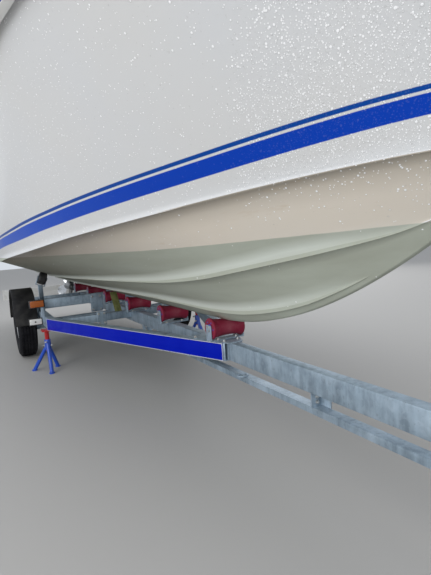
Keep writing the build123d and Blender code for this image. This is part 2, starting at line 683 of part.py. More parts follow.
# Swim platform, ladder and drive
platform = box((TRANSOM_X - 520, TRANSOM_X), (-900, 900), (PLATFORM_TOP - 50, PLATFORM_TOP))
platform = fillet(platform.edges().filter_by(Axis.Z).sort_by(Axis.X)[:2], 60)
rungs = [rod((x, LADDER_Y - LADDER_HALF, LADDER_Z), (x, LADDER_Y + LADDER_HALF, LADDER_Z), 10)
         for x in (LADDER_X + 150, LADDER_X + 280, LADDER_X + 410)]
ladder = rungs[0] + rungs[1] + rungs[2]
for side in (-1, 1):
    y = LADDER_Y + side * LADDER_HALF
    ladder += rod((LADDER_X + 8, y, LADDER_Z), (LADDER_X + 430, y, LADDER_Z), LADDER_TUBE)
    ladder += rod((LADDER_X, y - 14, LADDER_Z), (LADDER_X, y + 14, LADDER_Z), 15)
    ladder -= rod((LADDER_X, y - 20, LADDER_Z), (LADDER_X, y + 20, LADDER_Z), LADDER_PIN + RUNNING_GAP)
    lug_y = y + side * 19
    lug_z = (PLATFORM_TOP - 40, LADDER_Z + 14)
    platform += box((LADDER_X - 12, TRANSOM_X - 500), (lug_y - 4, lug_y + 4), lug_z)
    platform += rod((LADDER_X, y - side * 14, LADDER_Z), (LADDER_X, lug_y, LADDER_Z), LADDER_PIN)
keep("swim_ladder", ladder, STEEL)
keep("swim_platform", platform, WHITE)

plate = box((TRANSOM_X - 40, TRANSOM_X), (-190, 190), (TRIM_Z - 170, TRIM_Z + 190))
plate = fillet(plate.edges().filter_by(Axis.X), 60)
shield = plate
for side in (1, -1):
    lug_z = (TRIM_Z + side * LUG_Z - LUG_THICK / 2, TRIM_Z + side * LUG_Z + LUG_THICK / 2)
    shield += box((STEER_X, TRANSOM_X - 39), (-LUG_HALF, LUG_HALF), lug_z)
    shield += rod((STEER_X, 0, lug_z[0]), (STEER_X, 0, lug_z[1]), LUG_HALF)
    shield += rod((STEER_X, 0, TRIM_Z + side * LUG_Z), (STEER_X, 0, TRIM_Z + side * 100), DRIVE_PIN)
keep("transom_plate", shield, (0.12, 0.12, 0.13))
ring = box((STEER_X - 26, STEER_X + 18), (-115, 115), (TRIM_Z - 120, TRIM_Z + 120))
ring -= box((STEER_X - 80, STEER_X + 80), (-85, 85), (TRIM_Z - 85, TRIM_Z + 85))
ring -= rod((STEER_X, 0, TRIM_Z - LUG_Z), (STEER_X, 0, TRIM_Z + LUG_Z), DRIVE_PIN + RUNNING_GAP)
for side in (1, -1):
    ring += box((TRIM_X - 25, STEER_X - 20), (side * 100 - 15, side * 100 + 15), (TRIM_Z - 30, TRIM_Z + 30))
    ring += rod((TRIM_X, side * 86, TRIM_Z), (TRIM_X, side * 30, TRIM_Z), DRIVE_PIN)
keep("drive_gimbal", ring, (0.12, 0.12, 0.13))

outline = [(-300, 110), (-260, 150), (-140, 150), (-60, 60), (-40, -60), (-60, -150), (-290, -150)]
upper = slab([(TRIM_X + x, -78, TRIM_Z + z) for x, z in outline], 156, (0, 1, 0))
ears = box((TRIM_X - 60, TRIM_X + 28), (-60, 60), (TRIM_Z - 28, TRIM_Z + 28))
leg = upper + ears
leg -= rod((TRIM_X, -80, TRIM_Z), (TRIM_X, 80, TRIM_Z), DRIVE_PIN + RUNNING_GAP)
leg += box((TRIM_X - 290, TRIM_X - 90), (-30, 30), (PROP_Z, TRIM_Z - 140))
leg += box((TRIM_X - 420, TRIM_X - 60), (-110, 110), (TRIM_Z - 100, TRIM_Z - 88))
leg += rod((TRIM_X - 60, 0, PROP_Z), (PROP_X + 60, 0, PROP_Z), 55)
nose = Pos(TRIM_X - 60, 0, PROP_Z) * Sphere(55)
leg += nose
skeg_outline = [(-110, -40), (-330, -40), (-360, -215), (-270, -215)]
skeg = Polyline(*[(TRIM_X + x, 0, PROP_Z + z) for x, z in skeg_outline], close=True)
leg += extrude(make_face(skeg.edges()), amount=9, both=True, dir=Vector(0, 1, 0))
leg += rod((PROP_X + 60, 0, PROP_Z), (PROP_X - 60, 0, PROP_Z), 12)
keep("drive_leg", leg, (0.12, 0.12, 0.13))
propeller = rod((PROP_X + 55, 0, PROP_Z), (PROP_X - 55, 0, PROP_Z), 48)
for angle in (0, 120, 240):
    blade = Box(8, 110, PROP_RADIUS - 40)
    blade = Pos(0, 0, 40 + (PROP_RADIUS - 40) / 2) * Rot(0, 0, 32) * blade
    propeller += Pos(PROP_X, 0, PROP_Z) * Rot(angle, 0, 0) * blade
propeller &= rod((PROP_X + 55, 0, PROP_Z), (PROP_X - 55, 0, PROP_Z), PROP_RADIUS)
propeller -= rod((PROP_X + 80, 0, PROP_Z), (PROP_X - 80, 0, PROP_Z), 12 + RUNNING_GAP)
keep("propeller", propeller, STEEL)

# Rub rail along the sheer
rub_rails = []
stations = [TRANSOM_X, -3000, BEAM_FULL_X, -400, 300, 800, 1200, 1500, 1750, 1950, 2080, NOSE_X]
for side in (1, -1):
    sections = []
    for x in stations:
        half, z = sheer_half(x), sheer_z(x)
        points = [(side * (half + 0.3), z - RAIL_TALL), (side * (half + RAIL_DEEP), z - RAIL_TALL + 10),
                  (side * (half + RAIL_DEEP), z - 10), (side * (half + 0.3), z)]
        sections.append(wire_section(x, points))
    rub_rails.append(loft(sections, ruled=True) - hull)
keep("rub_rail", rub_rails, WHITE)

# Windscreen


def screen_foot(row):
    return Vector(row[0], row[1], sheer_z(row[0]) + row[2])


def screen_top(row):
    return Vector(*row[3:])


def screen_outward(i):
    """Level direction square to the screen at one row of its table."""
    low, high = SCREEN[max(i - 1, 0)], SCREEN[min(i + 1, len(SCREEN) - 1)]
    along = screen_foot(high) - screen_foot(low) if i else Vector(0, 1, 0)
    return Vector(along.Y, -along.X, 0).normalized()


def mirrored(points):
    """Port points from aft to the middle, then their starboard images."""
    return points + [(x, -y, z) for x, y, z in reversed(points) if y > 1]


top_line = [tuple(screen_top(row)) for row in reversed(SCREEN)]
foot_line = [tuple(screen_foot(row)) for row in reversed(SCREEN)]
screen = pipe(mirrored(top_line), SCREEN_TUBE) + pipe(mirrored(foot_line), SCREEN_TUBE)
for i in (1, 2, 5):
    post = rod(screen_foot(SCREEN[i]), screen_top(SCREEN[i]), SCREEN_POST)
    for bar in both_sides(post):
        screen = screen + bar
for i, seat in ((1, crown(SCREEN[1][0]) * ROOF_SHARE), (5, COAMING_RISE)):
    x, y, rise = SCREEN[i][:3]
    foot = rod((x, y, sheer_z(x) + seat + 2 * RUNNING_GAP), (x, y, sheer_z(x) + rise), SCREEN_FOOT)
    for stub in both_sides(foot):
        screen = screen + stub
sections = []
for i, row in enumerate(SCREEN):
    half_glass = screen_outward(i) * (GLASS / 2)
    foot, top = screen_foot(row), screen_top(row)
    corners = [foot - half_glass, top - half_glass, top + half_glass, foot + half_glass]
    sections.append(make_face(Polyline(*corners, close=True).edges()))
glass = loft(sections, ruled=True)
panes = [pane - screen - deck - coaming for pane in both_sides(glass)]
keep("windscreen_frame", screen, STEEL)
keep("windscreen_glass", panes, (0.3, 0.35, 0.38))

# Bow rail, cleats and bow eye
rail_side, posts_side = [], []
for x, inset in POSTS:
    low = (x, sheer_half(x) - inset, side_deck_z(x, inset) + RUNNING_GAP + POST_TUBE / 3)
    high = (x + 40, sheer_half(x) - inset - 20, sheer_z(x) + RAIL_UP)
    posts_side.append(rod(low, high, POST_TUBE))
    rail_side.append(high)
foot_z = sheer_z(BULKHEAD_X) + COAMING_RISE + RUNNING_GAP
rail_foot = Vector(BULKHEAD_X - 40, sheer_half(BULKHEAD_X) - 90, foot_z)
rail_side = [tuple(rail_foot), tuple(rail_foot + Vector(0, 0, 70))] + rail_side
rail_side.append((2060, 110, sheer_z(2060) + RAIL_UP + 5))
bow_rail = pipe(rail_side + [(x, -y, z) for x, y, z in reversed(rail_side)], RAIL_TUBE)
for post in posts_side:
    for side in both_sides(post):
        bow_rail = bow_rail + side
keep("bow_rail", bow_rail, STEEL)
cleats = []
for x in (1300, -4200):
    base = sheer_z(x) + (COAMING_RISE * 0.9 if x < 0 else 22)
    for side in (1, -1):
        y = side * (sheer_half(x) - 90)
        cleat = box((x - 25, x + 25), (y - 10, y + 10), (base, base + 26))
        cleat += rod((x - 75, y, base + 30), (x + 75, y, base + 30), 9)
        cleats.append(cleat - deck - coaming)
eye = Pos(stem_x(EYE_Z) + 12, 0, EYE_Z - 14) * Rot(90, 0, 0) * Torus(26, 6)
eye = (eye - hull).solids().sort_by(Axis.X)[-1]
keep("deck_fittings", cleats + [eye], STEEL)


def make_v_beam():
    """One splayed beam, mitred against the drawbar and cut square to X at its rear."""
    slope = (V_REAR_HALF - V_FRONT_HALF) / -V_REAR_X
    width = BEAM_WIDTH * hypot(1, slope)
    spine = BEAM_WIDTH / 2
    inner_start = -(spine - V_FRONT_HALF + width) / slope
    corners = [(0, spine), (0, V_FRONT_HALF), (V_REAR_X, V_REAR_HALF), (V_REAR_X, V_REAR_HALF - width),
               (inner_start, spine)]
    face = make_face(Polyline(*[(x, y, BEAM_TOP - BEAM_HEIGHT) for x, y in corners], close=True).edges())
    return extrude(face, amount=BEAM_HEIGHT, dir=Vector(0, 0, 1))


spine_half = BEAM_WIDTH / 2
beam_low = BEAM_TOP - BEAM_HEIGHT
drawbar = box((DRAWBAR_REAR, DRAWBAR_FRONT), (-spine_half, spine_half), (beam_low, BEAM_TOP))
junction = Polyline((30, -46, BEAM_TOP), (30, 46, BEAM_TOP), (JUNCTION_REAR, 150, BEAM_TOP),
                    (JUNCTION_REAR, -150, BEAM_TOP), close=True)
drawbar += extrude(make_face(junction.edges()), amount=JUNCTION_PLATE, dir=Vector(0, 0, 1))
keep("drawbar", drawbar, GALVANISED)
v_beam = make_v_beam()
pocket_outline = [(1, spine_half + 4), (1, V_FRONT_HALF - 4), (-140, V_FRONT_HALF + 44),
                  (-140, spine_half + 20)]
pocket = Polyline(*[(x, y, beam_low + 4) for x, y in pocket_outline], close=True)
v_beam -= extrude(make_face(pocket.edges()), amount=BEAM_HEIGHT - 8, dir=Vector(0, 0, 1))
slope = atan2(V_REAR_HALF - V_FRONT_HALF, -V_REAR_X)
board_out = Vector(sin(slope), cos(slope), 0)
a = Vector(-12, V_FRONT_HALF + 12 * tan(slope), beam_low)
b = Vector(V_REAR_X + 4, V_REAR_HALF - 4 * tan(slope), beam_low)
up = Vector(0, 0, BEAM_HEIGHT)
board_face = make_face(Polyline(a, b, b + up, a + up, close=True).edges())
board = extrude(board_face, amount=BOARD_THICK, dir=board_out)
keep("side_boards", both_sides(board), (0.02, 0.08, 0.6))

rail_in = RAIL_HALF - BEAM_WIDTH
rail = box((RAIL_REAR, V_REAR_X), (rail_in, RAIL_HALF), (beam_low, BEAM_TOP))
keep("side_beams", both_sides(v_beam + rail), GALVANISED)
cross = []
front_cross = box((-1760, -1700), (spine_half, RAIL_HALF - CROSS_INSET), (BEAM_TOP - 65, BEAM_TOP))
front_cross -= v_beam
rear_cross = box((DRAWBAR_REAR, DRAWBAR_REAR + 60), (spine_half, rail_in), (BEAM_TOP - 80, BEAM_TOP))
for piece in (front_cross, rear_cross):
    cross += both_sides(piece)
cross.append(box((-2640, -2580), (-RAIL_HALF, RAIL_HALF), (BEAM_TOP, BEAM_TOP + 95)))
for plate in both_sides(box((-2580, -2574), (64, 187), (BEAM_TOP - 96, BEAM_TOP + 87))):
    cross[-1] += plate
for n, side in enumerate((1, -1)):
    cross[n] += box((-1700, -1694), (side * 257, side * 337), (BEAM_TOP - 94, BEAM_TOP + 25))
keep("cross_beams", cross, GALVANISED)
chord_half = CHORD_WIDTH / 2
chord = box((CHORD_REAR, CHORD_FRONT), (-chord_half, chord_half), (CHORD_TOP - CHORD_HEIGHT, CHORD_TOP))
for x in (-1400, -420, 690, 2200):
    chord += box((x - 30, x - 24), (-spine_half, spine_half), (CHORD_TOP, beam_low))
    chord += box((x - 25, x + 30), (spine_half - 6, spine_half), (CHORD_TOP, beam_low))
chord += box((RING_X - 31, RING_X + 31), (-24, -14), (CHORD_TOP, CHORD_TOP + 6))
chord += Pos(RING_X, -24, CHORD_TOP + 4) * Torus(26, 5)
keep("lower_chord", chord, GALVANISED)

# Axle with trailing arms and spindles
half = AXLE_SIZE / 2
axle_z = TYRE_RADIUS + 5
axle = box((AXLE_X - half, AXLE_X + half), (-RAIL_HALF, RAIL_HALF), (axle_z - half, axle_z + half))
for side in (1, -1):
    y = (side * rail_in, side * RAIL_HALF) if side > 0 else (-RAIL_HALF, -rail_in)
    axle += box((AXLE_X - 70, AXLE_X + 70), y, (axle_z + half, beam_low))
    arm = rod((AXLE_X, side * RAIL_HALF, axle_z), (AXLE_X, side * (RAIL_HALF + 25), axle_z), 48)
    arm += rod((WHEEL_X, side * RAIL_HALF, TYRE_RADIUS), (WHEEL_X, side * (RAIL_HALF + 25), TYRE_RADIUS), 42)
    arm += box((WHEEL_X, AXLE_X), (side * RAIL_HALF, side * (RAIL_HALF + 25)),
               (TYRE_RADIUS - 30, TYRE_RADIUS + 30))
    spindle = [(WHEEL_X, side * y, TYRE_RADIUS) for y in (RAIL_HALF + 20, WHEEL_HALF + 50)]
    arm += rod(*spindle, SPINDLE_RADIUS)
    axle += arm
keep("axle", axle, GALVANISED)

# Road wheels
half_width = TYRE_WIDTH / 2
tyre_half = [(half_width - 50, TYRE_RADIUS), (half_width - 28, TYRE_RADIUS - 6), (half_width, TYRE_RADIUS - 55),
             (half_width, RIM_RADIUS + 40), (half_width - 20, RIM_RADIUS)]
tyre_profile = [(-y, r) for y, r in reversed(tyre_half)] + tyre_half
bore = SPINDLE_RADIUS + RUNNING_GAP
seat_radius = RIM_RADIUS - RUNNING_GAP
rim_profile = [(-half_width + 20, seat_radius), (half_width - 20, seat_radius), (half_width - 20, RIM_RADIUS - 12),
               (45, RIM_RADIUS - 30), (38, 100), (48, 60), (70, 40), (70, 0), (60, 0), (60, bore), (-70, bore),
               (-70, 110), (20, 110), (20, 140), (30, RIM_RADIUS - 30), (-half_width + 20, RIM_RADIUS - 12)]
for name, side in (("left", 1), ("right", -1)):
    centre = (WHEEL_X, side * WHEEL_HALF, TYRE_RADIUS)
    keep(f"{name}_tyre", turned(tyre_profile, centre, (0, side, 0)), BLACK)
    rim = turned(rim_profile, centre, (0, side, 0))
    for turn in range(0, 360, 45):
        x = WHEEL_X + RIM_HOLE_CIRCLE * cos(turn * pi / 180)
        z = TYRE_RADIUS + RIM_HOLE_CIRCLE * sin(turn * pi / 180)
        rim -= rod((x, side * WHEEL_HALF, z), (x, side * (WHEEL_HALF + 60), z), RIM_HOLE)
    keep(f"{name}_rim", rim, STEEL)

# Mudguards on brackets from the side rails
guards, guard_brackets = [], []
for side in (1, -1):
    y0 = side * (WHEEL_HALF - MUDGUARD_WIDTH / 2 + 3)
    outer = rod((WHEEL_X, y0, TYRE_RADIUS), (WHEEL_X, y0 + side * MUDGUARD_WIDTH, TYRE_RADIUS),
                MUDGUARD_RADIUS + MUDGUARD_THICK)
    inner = rod((WHEEL_X, y0 - side, TYRE_RADIUS), (WHEEL_X, y0 + side * (MUDGUARD_WIDTH + 1), TYRE_RADIUS),
                MUDGUARD_RADIUS)
    guard = outer - inner - box((WHEEL_X - 500, WHEEL_X + 500), (-1200, 1200), (-100, TYRE_RADIUS + 40))
    guards.append(guard)
    y = (side * RAIL_HALF, side * (WHEEL_HALF - MUDGUARD_WIDTH / 2 + 3 - 0.3))
    for x in (-250, 250):
        guard_brackets.append(box((WHEEL_X + x - 20, WHEEL_X + x + 20), y, (BEAM_TOP - 60, BEAM_TOP + 110)))
keep("mudguards", guards, BLACK)

# Keel rollers on their brackets
roller_profile = [(-ROLLER_HALF, ROLLER_PIN + RUNNING_GAP), (-ROLLER_HALF, ROLLER_END_RADIUS),
                  (-ROLLER_HALF + 12, ROLLER_END_RADIUS), (-ROLLER_HALF + 26, ROLLER_END_RADIUS - 7),
                  (-KEEL_PAD_HALF - 26, ROLLER_WAIST + 2), (-KEEL_PAD_HALF - 4, ROLLER_WAIST),
                  (KEEL_PAD_HALF + 4, ROLLER_WAIST), (KEEL_PAD_HALF + 26, ROLLER_WAIST + 2),
                  (ROLLER_HALF - 26, ROLLER_END_RADIUS - 7), (ROLLER_HALF - 12, ROLLER_END_RADIUS),
                  (ROLLER_HALF, ROLLER_END_RADIUS), (ROLLER_HALF, ROLLER_PIN + RUNNING_GAP)]
brackets = []
for i, x in enumerate(ROLLER_XS):
    keep(f"keel_roller_{i + 1}", turned(roller_profile, (x, 0, ROLLER_Z), (0, 1, 0)), (0.4, 0.02, 0.06))
    inside = ROLLER_HALF + 3
    outside = inside + BRACKET_PLATE
    span = (x - BRACKET_LENGTH / 2, x + BRACKET_LENGTH / 2)
    seat = BEAM_TOP + (JUNCTION_PLATE if x > JUNCTION_REAR else 0)
    bracket = box(span, (-outside, outside), (seat, seat + BRACKET_PLATE))
    for side in (1, -1):
        bracket += box(span, (side * inside, side * outside), (seat, ROLLER_Z + 22))
    bracket += rod((x, -outside - 8, ROLLER_Z), (x, outside + 8, ROLLER_Z), ROLLER_PIN)
    brackets.append(bracket)
keep("roller_brackets", brackets, GALVANISED)

# Side rollers under the bottom panels
deadrise = atan2(chine(-3000)[1] - KEEL_Z, chine(-3000)[0] - CHINE_FLAT - KEEL_PAD_HALF)
supports = []
number = 0
for x in SIDE_ROLLER_XS:
    for side in (1, -1):
        number += 1
        slope_out = Vector(0, side * cos(deadrise), sin(deadrise))
        normal = Vector(0, side * sin(deadrise), -cos(deadrise))
        touch = Vector(x, side * SIDE_ROLLER_Y, bottom_z(x, SIDE_ROLLER_Y))
        centre = touch + normal * (SIDE_ROLLER_RADIUS + RUNNING_GAP)
        profile = [(-SIDE_ROLLER_HALF, SIDE_PIN + RUNNING_GAP), (-SIDE_ROLLER_HALF, SIDE_ROLLER_RADIUS - 6),
                   (-SIDE_ROLLER_HALF + 8, SIDE_ROLLER_RADIUS), (SIDE_ROLLER_HALF - 8, SIDE_ROLLER_RADIUS),
                   (SIDE_ROLLER_HALF, SIDE_ROLLER_RADIUS - 6), (SIDE_ROLLER_HALF, SIDE_PIN + RUNNING_GAP)]
        roller = turned(profile, tuple(centre), tuple(slope_out))
        keep(f"side_roller_{number}", roller, BLACK)
        frame = Plane(origin=centre, x_dir=Vector(1, 0, 0), z_dir=slope_out)
        fork = frame * Cylinder(SIDE_PIN, 2 * SIDE_ROLLER_HALF + 26)
        for end in (1, -1):
            away = 1 if normal.dot(frame.y_dir) > 0 else -1
            fork += frame * Pos(0, away * 30, end * (SIDE_ROLLER_HALF + 7)) * Box(44, 100, 6)
        fork += frame * Pos(0, away * (SIDE_ROLLER_RADIUS + 12), 0) * Box(44, 8, 2 * SIDE_ROLLER_HALF + 20)
        foot = centre + normal * (SIDE_ROLLER_RADIUS + 10)
        post = box((x - 22, x + 22), (foot.Y - 22, foot.Y + 22), (BEAM_TOP - 90, foot.Z))
        arm = box((x - 22, x + 22), (foot.Y, side * rail_in), (BEAM_TOP - 90, BEAM_TOP - 40))
        supports.append(fork + post + arm)
keep("side_supports", supports, GALVANISED)

# Winch post, winch, strap and bow stop
stop_x = stem_x(STOP_Z)
tangent = Vector(stem_x(STOP_Z + 1) - stem_x(STOP_Z - 1), 0, 2).normalized()
stop_centre = Vector(stop_x, 0, STOP_Z) + Vector(tangent.Z, 0, -tangent.X) * (STOP_RADIUS + RUNNING_GAP)
post = box(POST_X, (-40, 40), (BEAM_TOP, stop_centre.Z + 30))
post += box((POST_X[0] - 60, POST_X[1] + 60), (-70, 70), (BEAM_TOP, BEAM_TOP + 8))
for side in (1, -1):
    y = (side * 40, side * 46)
    cheek = box((stop_centre.X - 25, POST_X[1] - 5), y, (stop_centre.Z - 25, stop_centre.Z + 25))
    post += cheek
post += rod((stop_centre.X, -50, stop_centre.Z), (stop_centre.X, 50, stop_centre.Z), STOP_PIN)
keep("winch_post", post, GALVANISED)
stop = rod((stop_centre.X, -38, stop_centre.Z), (stop_centre.X, 38, stop_centre.Z), STOP_RADIUS)
stop -= rod((stop_centre.X, -60, stop_centre.Z), (stop_centre.X, 60, stop_centre.Z), STOP_PIN + RUNNING_GAP)
keep("bow_stop", stop, BLACK)
winch = rod((WINCH[0], -45, WINCH[2]), (WINCH[0], 45, WINCH[2]), 34)
for side in (1, -1):
    y = (side * 42, side * 48)
    winch += box((WINCH[0] - 60, POST_X[0]), y, (WINCH[2] - 60, WINCH[2] + 60))
winch += box((POST_X[0] - 6, POST_X[0]), (-48, 48), (WINCH[2] - 80, WINCH[2] + 80))
winch += rod((WINCH[0], 47, WINCH[2] + 30), (WINCH[0], 84, WINCH[2] + 30), 11)
winch += box((WINCH[0] - 12, WINCH[0] + 12), (78, 84), (WINCH[2] + 18, WINCH[2] + 240))
winch += rod((WINCH[0], 80, WINCH[2] + 225), (WINCH[0], 180, WINCH[2] + 225), 14)
keep("winch", winch, GALVANISED)
strap_end = Vector(stem_x(EYE_Z) + 33.3, 0, EYE_Z - 39.2)
strap_start = Vector(WINCH[0], 0, WINCH[2]) + Vector(0, 0, 34 + RUNNING_GAP)
run = strap_end - strap_start
across = Vector(0, 1, 0)
lift = across.cross(run).normalized()
corner = strap_start - across * 25
strap_corners = [corner, corner + run, corner + run + across * 50, corner + across * 50]
face = make_face(Polyline(*strap_corners, close=True).edges())
winch_strap = extrude(face, amount=3, dir=lift if lift.Z > 0 else lift * -1)

# Jockey wheel
jx, jy = JOCKEY
bore_z = (TUBE_LOW - 10, TUBE_TOP - 20)
tube = rod((jx, jy, TUBE_LOW), (jx, jy, TUBE_TOP), TUBE_RADIUS)
tube -= rod((jx, jy, bore_z[0]), (jx, jy, bore_z[1]), LEG_RADIUS + RUNNING_GAP)
clamp = box((jx - 40, jx + 40), (spine_half, jy - 20), (TUBE_LOW, BEAM_TOP))
clamp -= rod((jx, jy, bore_z[0]), (jx, jy, bore_z[1]), TUBE_RADIUS - 1)
tube += clamp
crank_z = TUBE_TOP + 25
tube += rod((jx, jy, TUBE_TOP - 2), (jx, jy, crank_z + 5), 10)
tube += rod((jx, jy, crank_z), (jx + 110, jy, crank_z), 7)
keep("jockey_tube", tube, GALVANISED)
jleg = rod((jx, jy, LEG_LOW), (jx, jy, LEG_TOP), LEG_RADIUS)
jleg -= rod((jx, jy, LEG_LOW - 5), (jx, jy, LEG_LOW + 44), SWIVEL_PIN + RUNNING_GAP)
keep("jockey_leg", jleg, GALVANISED)
fork = rod((jx, jy, LEG_LOW - 22), (jx, jy, LEG_LOW - 2), 34)
fork += rod((jx, jy, LEG_LOW - 4), (jx, jy, LEG_LOW + 40), SWIVEL_PIN)
wheel_at = (jx - TRAIL, jy, JOCKEY_WHEEL)
for side in (1, -1):
    y = jy + side * 34
    cheek = [(jx + 20, LEG_LOW - 4), (jx - 30, LEG_LOW - 4), (wheel_at[0] - 20, JOCKEY_WHEEL - 18),
             (wheel_at[0] + 20, JOCKEY_WHEEL - 18)]
    plate = slab([(x, y - 3, z) for x, z in cheek], 6, (0, 1, 0))
    fork += plate
fork += box((jx - 30, jx + 20), (jy - 37, jy + 37), (LEG_LOW - 14, LEG_LOW - 4))
fork += rod((wheel_at[0], jy - 44, JOCKEY_WHEEL), (wheel_at[0], jy + 44, JOCKEY_WHEEL), 8)
keep("jockey_fork", fork, GALVANISED)
jockey_half = [(10, JOCKEY_WHEEL), (20, JOCKEY_WHEEL - 8), (26, 80), (26, 8 + RUNNING_GAP)]
jockey_profile = [(-y, r) for y, r in reversed(jockey_half)] + jockey_half
keep("jockey_wheel", turned(jockey_profile, wheel_at, (0, 1, 0)), BLACK)

# Coupling with its ball socket and handle, and the handbrake
head_low = BEAM_TOP - 66
head = box((SOCKET_X - 90, COUPLING_NOSE), (-46, 46), (head_low, BEAM_TOP + 6))
head = fillet(head.edges().filter_by(Axis.Z), 30)
head += rod((DRAWBAR_FRONT, 0, BEAM_TOP - 34), (SOCKET_X - 60, 0, BEAM_TOP - 34), 30)
head -= rod((SOCKET_X, 0, head_low - 1), (SOCKET_X, 0, head_low + 40), BALL_RADIUS)
head += rod((SOCKET_X - 20, 0, BEAM_TOP + 4), (SOCKET_X - 190, 0, BEAM_TOP + 92), 12)
brake = box((2560, 2640), (-46, -30), (BEAM_TOP - 60, BEAM_TOP + 30))
brake += rod((2600, -38, BEAM_TOP + 10), (2420, -38, BEAM_TOP + 260), 9)
brake += rod((2440, -38, BEAM_TOP + 232), (2395, -38, BEAM_TOP + 295), 14)
keep("coupling", [head, brake], (0.25, 0.25, 0.27))

# Lamp board at the rear on two arms
arms = []
for side in (1, -1):
    arms.append(box((BOARD_FRONT, DRAWBAR_REAR - 10), (side * (rail_in - 40), side * rail_in),
                    (BEAM_TOP - 70, BEAM_TOP - 30)))
board_z = (350.0, 500.0)
lamp_board = box((LAMP_BACK + 40, BOARD_FRONT), (-900, 900), board_z)
for side in (1, -1):
    y, z = side * PLATE_HOLE_HALF, sum(board_z) / 2
    lamp_board -= rod((LAMP_BACK + 30, y, z), (BOARD_FRONT + 10, y, z), 3)
keep("lamp_board", lamp_board, (0.85, 0.85, 0.85))
lamps = []
for side in (1, -1):
    lamps.append(box((LAMP_BACK, LAMP_BACK + 40), (side * LAMP_SPAN[0], side * LAMP_SPAN[1]),
                     (board_z[0] + 15, board_z[1] - 15)))

# Marker lamps beside the aft end of the V beams
marks, plates = [], []
for side in (1, -1):
    plate = box((MARK_X - 8, MARK_X), (side * RAIL_HALF, side * (RAIL_HALF + 30)), (410, 615))
    plate += box((MARK_X - 8, MARK_X), (side * RAIL_HALF, side * AMBER_OUT), (572, 603))
    plates.append(plate + box((MARK_X - 8, MARK_X), (side * RAIL_HALF, side * MARK_OUT), (420, 448)))
    marks.append(box((MARK_X, MARK_X + 22), (side * (RAIL_HALF + 3), side * AMBER_OUT), (560, 615)))
    marks.append(box((MARK_X, MARK_X + 14), (side * (RAIL_HALF + 33), side * MARK_OUT), (410, 458)))
keep("lamp_brackets", arms + plates + guard_brackets, GALVANISED)
keep("lamps", lamps + marks, (0.8, 0.3, 0.05))

# Axle stands under the aft ends of the V beams
legs, posts = [], []
for side in (1, -1):
    stand = rod((STAND_X, side * STAND_Y, 190), (STAND_X, side * STAND_Y, COLLAR_Z), STAND_POST + 7)
    for dx, dy in STAND_FEET:
        foot = (STAND_X + dx, side * (STAND_Y + dy), 8)
        stand += rod((STAND_X, side * STAND_Y, 240), foot, STAND_LEG)
        stand += rod((foot[0], foot[1], 0), (foot[0], foot[1], 10), STAND_LEG + 7)
    stand -= rod((STAND_X, side * STAND_Y, 100), (STAND_X, side * STAND_Y, COLLAR_Z + 1), STAND_POST + 0.1)
    stand -= box((STAND_X - 400, STAND_X + 400), (side * STAND_Y - 300, side * STAND_Y + 300), (-60, 0))
    legs.append(stand)
    post = rod((STAND_X, side * STAND_Y, 180), (STAND_X, side * STAND_Y, beam_low - 12), STAND_POST)
    post += box((STAND_X - 50, STAND_X + 50), (side * STAND_Y - 40, side * STAND_Y + 40),
                (beam_low - 12, beam_low))
    posts.append(post)
keep("stand_legs", legs, (0.02, 0.15, 0.75))
keep("stand_posts", posts, (0.7, 0.04, 0.05))

# Lashing strap from the hull bottom to the front cross-beam
strap_y = 135.0
low, high = Vector(-1740, -strap_y, BEAM_TOP), Vector(-1860, -strap_y, bottom_z(-1860, strap_y - 30) - 1)
face = make_face(Polyline(low + Vector(0, -30, 0), low + Vector(0, 30, 0), high + Vector(0, 30, 0),
                          high + Vector(0, -30, 0), close=True).edges())
lashing = extrude(face, amount=6, dir=Vector(1, 0, 0))
keep("straps", [winch_strap, lashing], (0.25, 0.3, 0.05))
